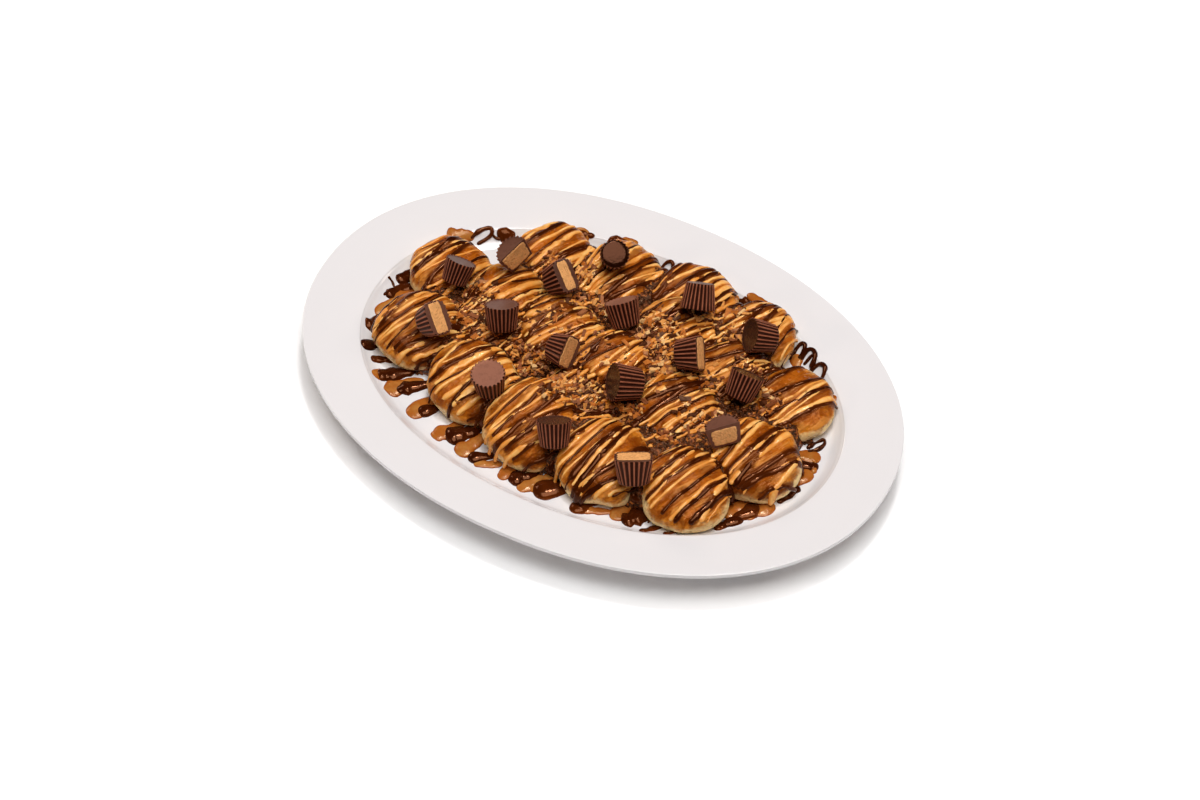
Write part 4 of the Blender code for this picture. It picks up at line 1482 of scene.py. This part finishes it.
def drizzle_strokes(field, settings):
    """Every strand over the pancakes as its sauce, path, width and seed, worked out once."""
    if "strokes" not in pile:
        numbers = {cake.node: number for number, cake in enumerate(PANCAKES)}
        draw = np.random.default_rng(STRAND_SEED)
        pile["strokes"] = strokes = []
        for sauce in COATS:
            width = getattr(settings, sauce + "_width") / MM
            for row in DRIZZLES:
                for front, back in getattr(row, sauce):
                    past = draw.uniform(-3.5, 0.8)
                    path = strand_path(field, numbers[row.node], row.heading, front, back, past)
                    own_width = width * np.clip(math.exp(draw.normal(0.0, 0.35)), 0.55, 1.7)
                    seed = int(draw.integers(1 << 30))
                    if path is not None and (sauce == "chocolate" or draw.uniform() < 0.85):
                        path = path + 0.2 * draw.normal(size=path.shape)
                        strokes.append((sauce, path, own_width, seed))
        for number, (width, path) in enumerate(LONG_STRANDS):
            strokes.append(("chocolate", np.array(path, float), width, 60 + number))
        for patch in PATCHES[:-1]:
            half_sizes = [patch.across, patch.along]
            for turn in range(max(2, int(patch.across * patch.along / 32))):
                ahead = way(draw.normal(57, 9))
                middle = np.array([patch.x, patch.y]) + draw.uniform(-0.8, 0.8, 2) * half_sizes
                along = np.linspace(-1, 1, 6)[:, None] * draw.uniform(3.5, 9)
                path = middle + along * ahead + 0.35 * draw.normal(size=(6, 2))
                sauce = "chocolate" if turn % 3 == 2 else "nut"
                strokes.append((sauce, path, draw.uniform(1.1, 2.2), int(draw.integers(1 << 30))))
    return pile["strokes"]


def sauce_coat(field, sauce, spread):
    """How thickly a sauce coats each spot: the strands' lines, blurred, with 1 along a lone line."""
    lines = np.zeros(field.top.shape)
    for kind, path, width, _ in drizzle_strokes(field, bpy.context.scene.platter_sauces):
        if kind == sauce:
            line, _ = walk(field, field.drape, path)
            np.maximum.at(lines, field.cells(line[:, 0], line[:, 1]), width / COATING_WIDTH)
    return np.clip(blurred(lines, spread) * spread * math.sqrt(2 * math.pi) * 0.9, 0, 1)


class PLATTER_OT_drizzle(bpy.types.Operator):
    """The strands of both sauces over the pancakes"""

    bl_idname = "platter.drizzle"
    bl_label = "Drizzle"

    def execute(self, context):
        settings = context.scene.platter_sauces
        field = pile_field()
        draw = np.random.default_rng(SEAM_SEED)
        for sauce, high, material in (
            ("nut", 0.85, nut_sauce_finish(settings)),
            ("chocolate", 0.95, chocolate_sauce_finish(settings)),
        ):
            shells = Shells()
            for kind, path, width, seed in drizzle_strokes(field, settings):
                if kind == sauce:
                    bead(shells, field, "crust", path, width, high * min(1.0, width / 2), seed)
            if sauce == "chocolate":
                for path in seam_paths(field):
                    seed = int(draw.integers(1 << 30))
                    bead(shells, field, "seam", path, 5.0, 1.2, seed, sink=0.5, uneven=0.3)
            place(shells.build(sauce + "_strands", material), sauce + "_sauce")
        return {"FINISHED"}


def pool_path(pool):
    """A pool's middle line, from its outer end towards the pile.

    A pool in front is drawn on under the pancakes, because it ran down from them.
    """
    ahead = way(pool.heading)
    toward = 1.0 if ahead @ [-pool.x, -1.5 * pool.y] > 0 else -1.0
    outer = -toward * pool.length / 2
    inner = toward * (pool.length / 2 + (6.0 if pool.y < 35 else 0.0))
    return np.array([pool.x, pool.y]) + np.linspace(outer, inner, 5)[:, None] * ahead


class PLATTER_OT_pools(bpy.types.Operator):
    """The pools and loops of sauce on the plate"""

    bl_idname = "platter.pools"
    bl_label = "Pools"

    def execute(self, context):
        settings = context.scene.platter_sauces
        field = pile_field()
        draw = np.random.default_rng(POOL_SEED)
        for sauce, material in (
            ("nut", nut_sauce_finish(settings, "nut_pool", NUT_POOL_SHADE)),
            ("chocolate", bpy.data.materials.get("chocolate_sauce") or chocolate_sauce_finish(settings)),
        ):
            shells = Shells()
            for pool in (Pool(*row) for row in POOLS[sauce]):
                path = pool_path(pool) + 0.25 * draw.normal(size=(5, 2))
                bead(
                    shells, field, "floor", path, pool.width * POOL_SPREAD, pool.height * POOL_SAG,
                    int(draw.integers(1 << 30)), sides=18, uneven=0.16, sink=0.0, swell=POOL_SWELL,
                )
            for width, high, path in LOOPS[sauce]:
                bead(shells, field, "floor", path, width, high, int(draw.integers(1 << 30)), sides=12)
            place(shells.build(sauce + "_pools", material), sauce + "_sauce")
        return {"FINISHED"}


class PLATTER_OT_crumbs(bpy.types.Operator):
    """The chopped chocolate and nut bits"""

    bl_idname = "platter.crumbs"
    bl_label = "Crumbs"

    def execute(self, context):
        settings = context.scene.platter_crumbs
        field = pile_field()
        core = new_piece("crumb_core", *heap_slab(field), crumb_core_finish(settings), {})
        place(core, "cup_chocolate")
        chocolate_tones = settings.dark, settings.milk, settings.dusty
        nut_tones = settings.toasted, settings.tan, settings.blond
        for name, slot, share, seed, tones in (
            ("chocolate_crumbs", "cup_chocolate", 0.32, 16, chocolate_tones),
            ("nut_crumbs", "nut_filling", 0.24, 10, nut_tones),
        ):
            points, faces, values = crumb_chunks(field, share, seed)
            piece = new_piece(name, points, faces, crumb_finish(name, *tones), values)
            piece.data.shade_flat()
            place(piece, slot)
        return {"FINISHED"}


class PLATTER_OT_cups(bpy.types.Operator):
    """The whole and cut chocolate cups, with their filling"""

    bl_idname = "platter.cups"
    bl_label = "Cups"

    def execute(self, context):
        settings = context.scene.platter_cups
        chocolate, nut = cup_finish(settings), filling_finish(settings)
        poses = {}
        for cup in CUPS:
            rings, ridge, face, ends = cup_rings(cup)
            turn, shift = cup_frame(cup, rings)
            poses[cup.node] = (cup, turn, shift)
            posed = rings @ turn.T + shift
            first, last = (end @ turn.T + shift for end in ends)
            shells = Shells()
            shells.add(posed, first, last, ridge=ridge, face=face, tone=FACE_TONES[cup.node])
            place(shells.build("fluted_" + cup.node, chocolate), "cup_chocolate", cup.node)
        for number, (node, half_a, half_b, aside, ahead) in enumerate(FILLINGS):
            cup, turn, shift = poses[node]
            slab = filling_rings(half_a, half_b, 900 + number)
            slab[..., 0] += aside
            slab[..., 1] += ahead
            if cup.kept == "half":
                slope = (WIDE_RADIUS - BASE_RADIUS) / CUP_HEIGHT / WIDE_RADIUS
                taper = 1 + slope * (slab[..., 1] - half_b)
                slab = np.stack([slab[..., 2], slab[..., 0] * taper, slab[..., 1]], -1)
            else:
                slab[..., 2] += cup.length / 2
            slab = slab * cup.size @ turn.T + shift
            shells = Shells()
            shells.add(slab, slab[0].mean(axis=0), slab[-1].mean(axis=0))
            place(shells.build("filling_" + node, nut), "nut_filling")
        return {"FINISHED"}


# The lights: name, place, level and upward size in metres, and tone. Their powers are settings.
WHITE = (1.0, 1.0, 1.0)
WARM = (1.0, 0.82, 0.70)
LIGHTS = (
    ("bank", (0.62, -0.6, 5.0), (3.4, 3.0), WHITE),
    ("side", (6.13, 3.37, 5.0), (2.6, 2.0), WARM),
    ("back", (-7.51, 3.28, 5.0), (2.6, 2.0), WARM),
    ("key", (-0.14, 1.29, 5.0), (0.6, 0.45), WHITE),
    ("front", (-0.85, -1.0, 0.75), (0.25, 0.25), WARM),
)
LIT_PLACE = (0.0, 0.0, 0.02)


def area_light(name, spot, size, tone, watts):
    """A rectangular area light that faces the lit place."""
    light = bpy.data.lights.new(name, "AREA")
    light.shape = "RECTANGLE"
    (light.size, light.size_y), light.energy, light.color = size, watts, tone
    lamp = bpy.data.objects.new(name, light)
    lamp.location = spot
    aim = np.array(spot) - np.array(LIT_PLACE)
    lamp.rotation_euler = (
        math.atan2(math.hypot(aim[0], aim[1]), aim[2]), 0.0, math.atan2(aim[0], -aim[1]),
    )
    bpy.context.scene.collection.objects.link(lamp)


# The even light's tone, and the floor in millimetres: half its side and how far it lies below the foot.
SKY_TONE = (1.0, 0.955, 0.93)
FLOOR_HALF_SIDE = 4000.0
FLOOR_GAP = 0.2


class PLATTER_OT_stage(bpy.types.Operator):
    """The pale floor, the soft lights and the camera"""

    bl_idname = "platter.stage"
    bl_label = "Stage"

    def execute(self, context):
        settings = context.scene.platter_stage
        scene = context.scene
        pale, _, _ = finish(
            "pale_floor", Base_Color=tint(WHITE), Roughness=0.9, Specular_IOR_Level=0.1,
        )
        corners = np.array([[-1, -1, 0], [1, -1, 0], [1, 1, 0], [-1, 1, 0]]) * FLOOR_HALF_SIDE
        floor = new_piece("floor", corners, [(0, 1, 2, 3)], pale, {})
        floor.location.z = -FLOOR_GAP * MM
        world = bpy.data.worlds.new("even_light")
        world.use_nodes = True
        background = world.node_tree.nodes["Background"]
        background.inputs["Color"].default_value = tint(SKY_TONE)
        background.inputs["Strength"].default_value = settings.sky
        scene.world = world
        for name, spot, size, tone in LIGHTS:
            area_light(name, spot, size, tone, getattr(settings, name))
        scene.view_settings.view_transform = "Standard"
        turn, rise = settings.azimuth, settings.elevation
        back = np.array([
            math.sin(turn) * math.cos(rise), -math.cos(turn) * math.cos(rise), math.sin(rise),
        ])
        up = np.array([
            -math.sin(turn) * math.sin(rise), math.cos(turn) * math.sin(rise), math.cos(rise),
        ])
        data = bpy.data.cameras.new("camera")
        data.lens, data.sensor_width = settings.lens, 36.0
        camera = bpy.data.objects.new("camera", data)
        camera.location = np.array([0, 0, RIM_TOP * MM]) + back * settings.distance - up * settings.drop
        camera.rotation_euler = (math.pi / 2 - rise, 0.0, turn)
        scene.collection.objects.link(camera)
        scene.camera = camera
        return {"FINISHED"}


class PLATTER_PT_panel(bpy.types.Panel):
    """Lists the pieces of the platter"""

    bl_idname = "PLATTER_PT_panel"
    bl_label = "Drizzled Pancake Platter"
    bl_space_type = "VIEW_3D"
    bl_region_type = "UI"
    bl_category = "Platter"

    def draw(self, context):
        for operator, group in STEPS:
            box = self.layout.box()
            box.operator(operator.bl_idname)
            for key in GROUPS[group].__annotations__:
                box.prop(getattr(context.scene, group), key)


STEPS = (
    (PLATTER_OT_dish, "platter_dish"),
    (PLATTER_OT_pancakes, "platter_pancakes"),
    (PLATTER_OT_drizzle, "platter_sauces"),
    (PLATTER_OT_pools, "platter_sauces"),
    (PLATTER_OT_crumbs, "platter_crumbs"),
    (PLATTER_OT_cups, "platter_cups"),
    (PLATTER_OT_stage, "platter_stage"),
)
CLASSES = (*GROUPS.values(), *(operator for operator, group in STEPS), PLATTER_PT_panel)


def register():
    for cls in CLASSES:
        bpy.utils.register_class(cls)
    for name, group in GROUPS.items():
        setattr(bpy.types.Scene, name, bpy.props.PointerProperty(type=group))


def unregister():
    for name in GROUPS:
        delattr(bpy.types.Scene, name)
    for cls in reversed(CLASSES):
        bpy.utils.unregister_class(cls)


def main():
    register()
    bpy.ops.platter.dish()
    bpy.ops.platter.pancakes()
    bpy.ops.platter.drizzle()
    bpy.ops.platter.pools()
    bpy.ops.platter.crumbs()
    bpy.ops.platter.cups()
    bpy.ops.platter.stage()


if __name__ == "__main__":
    main()
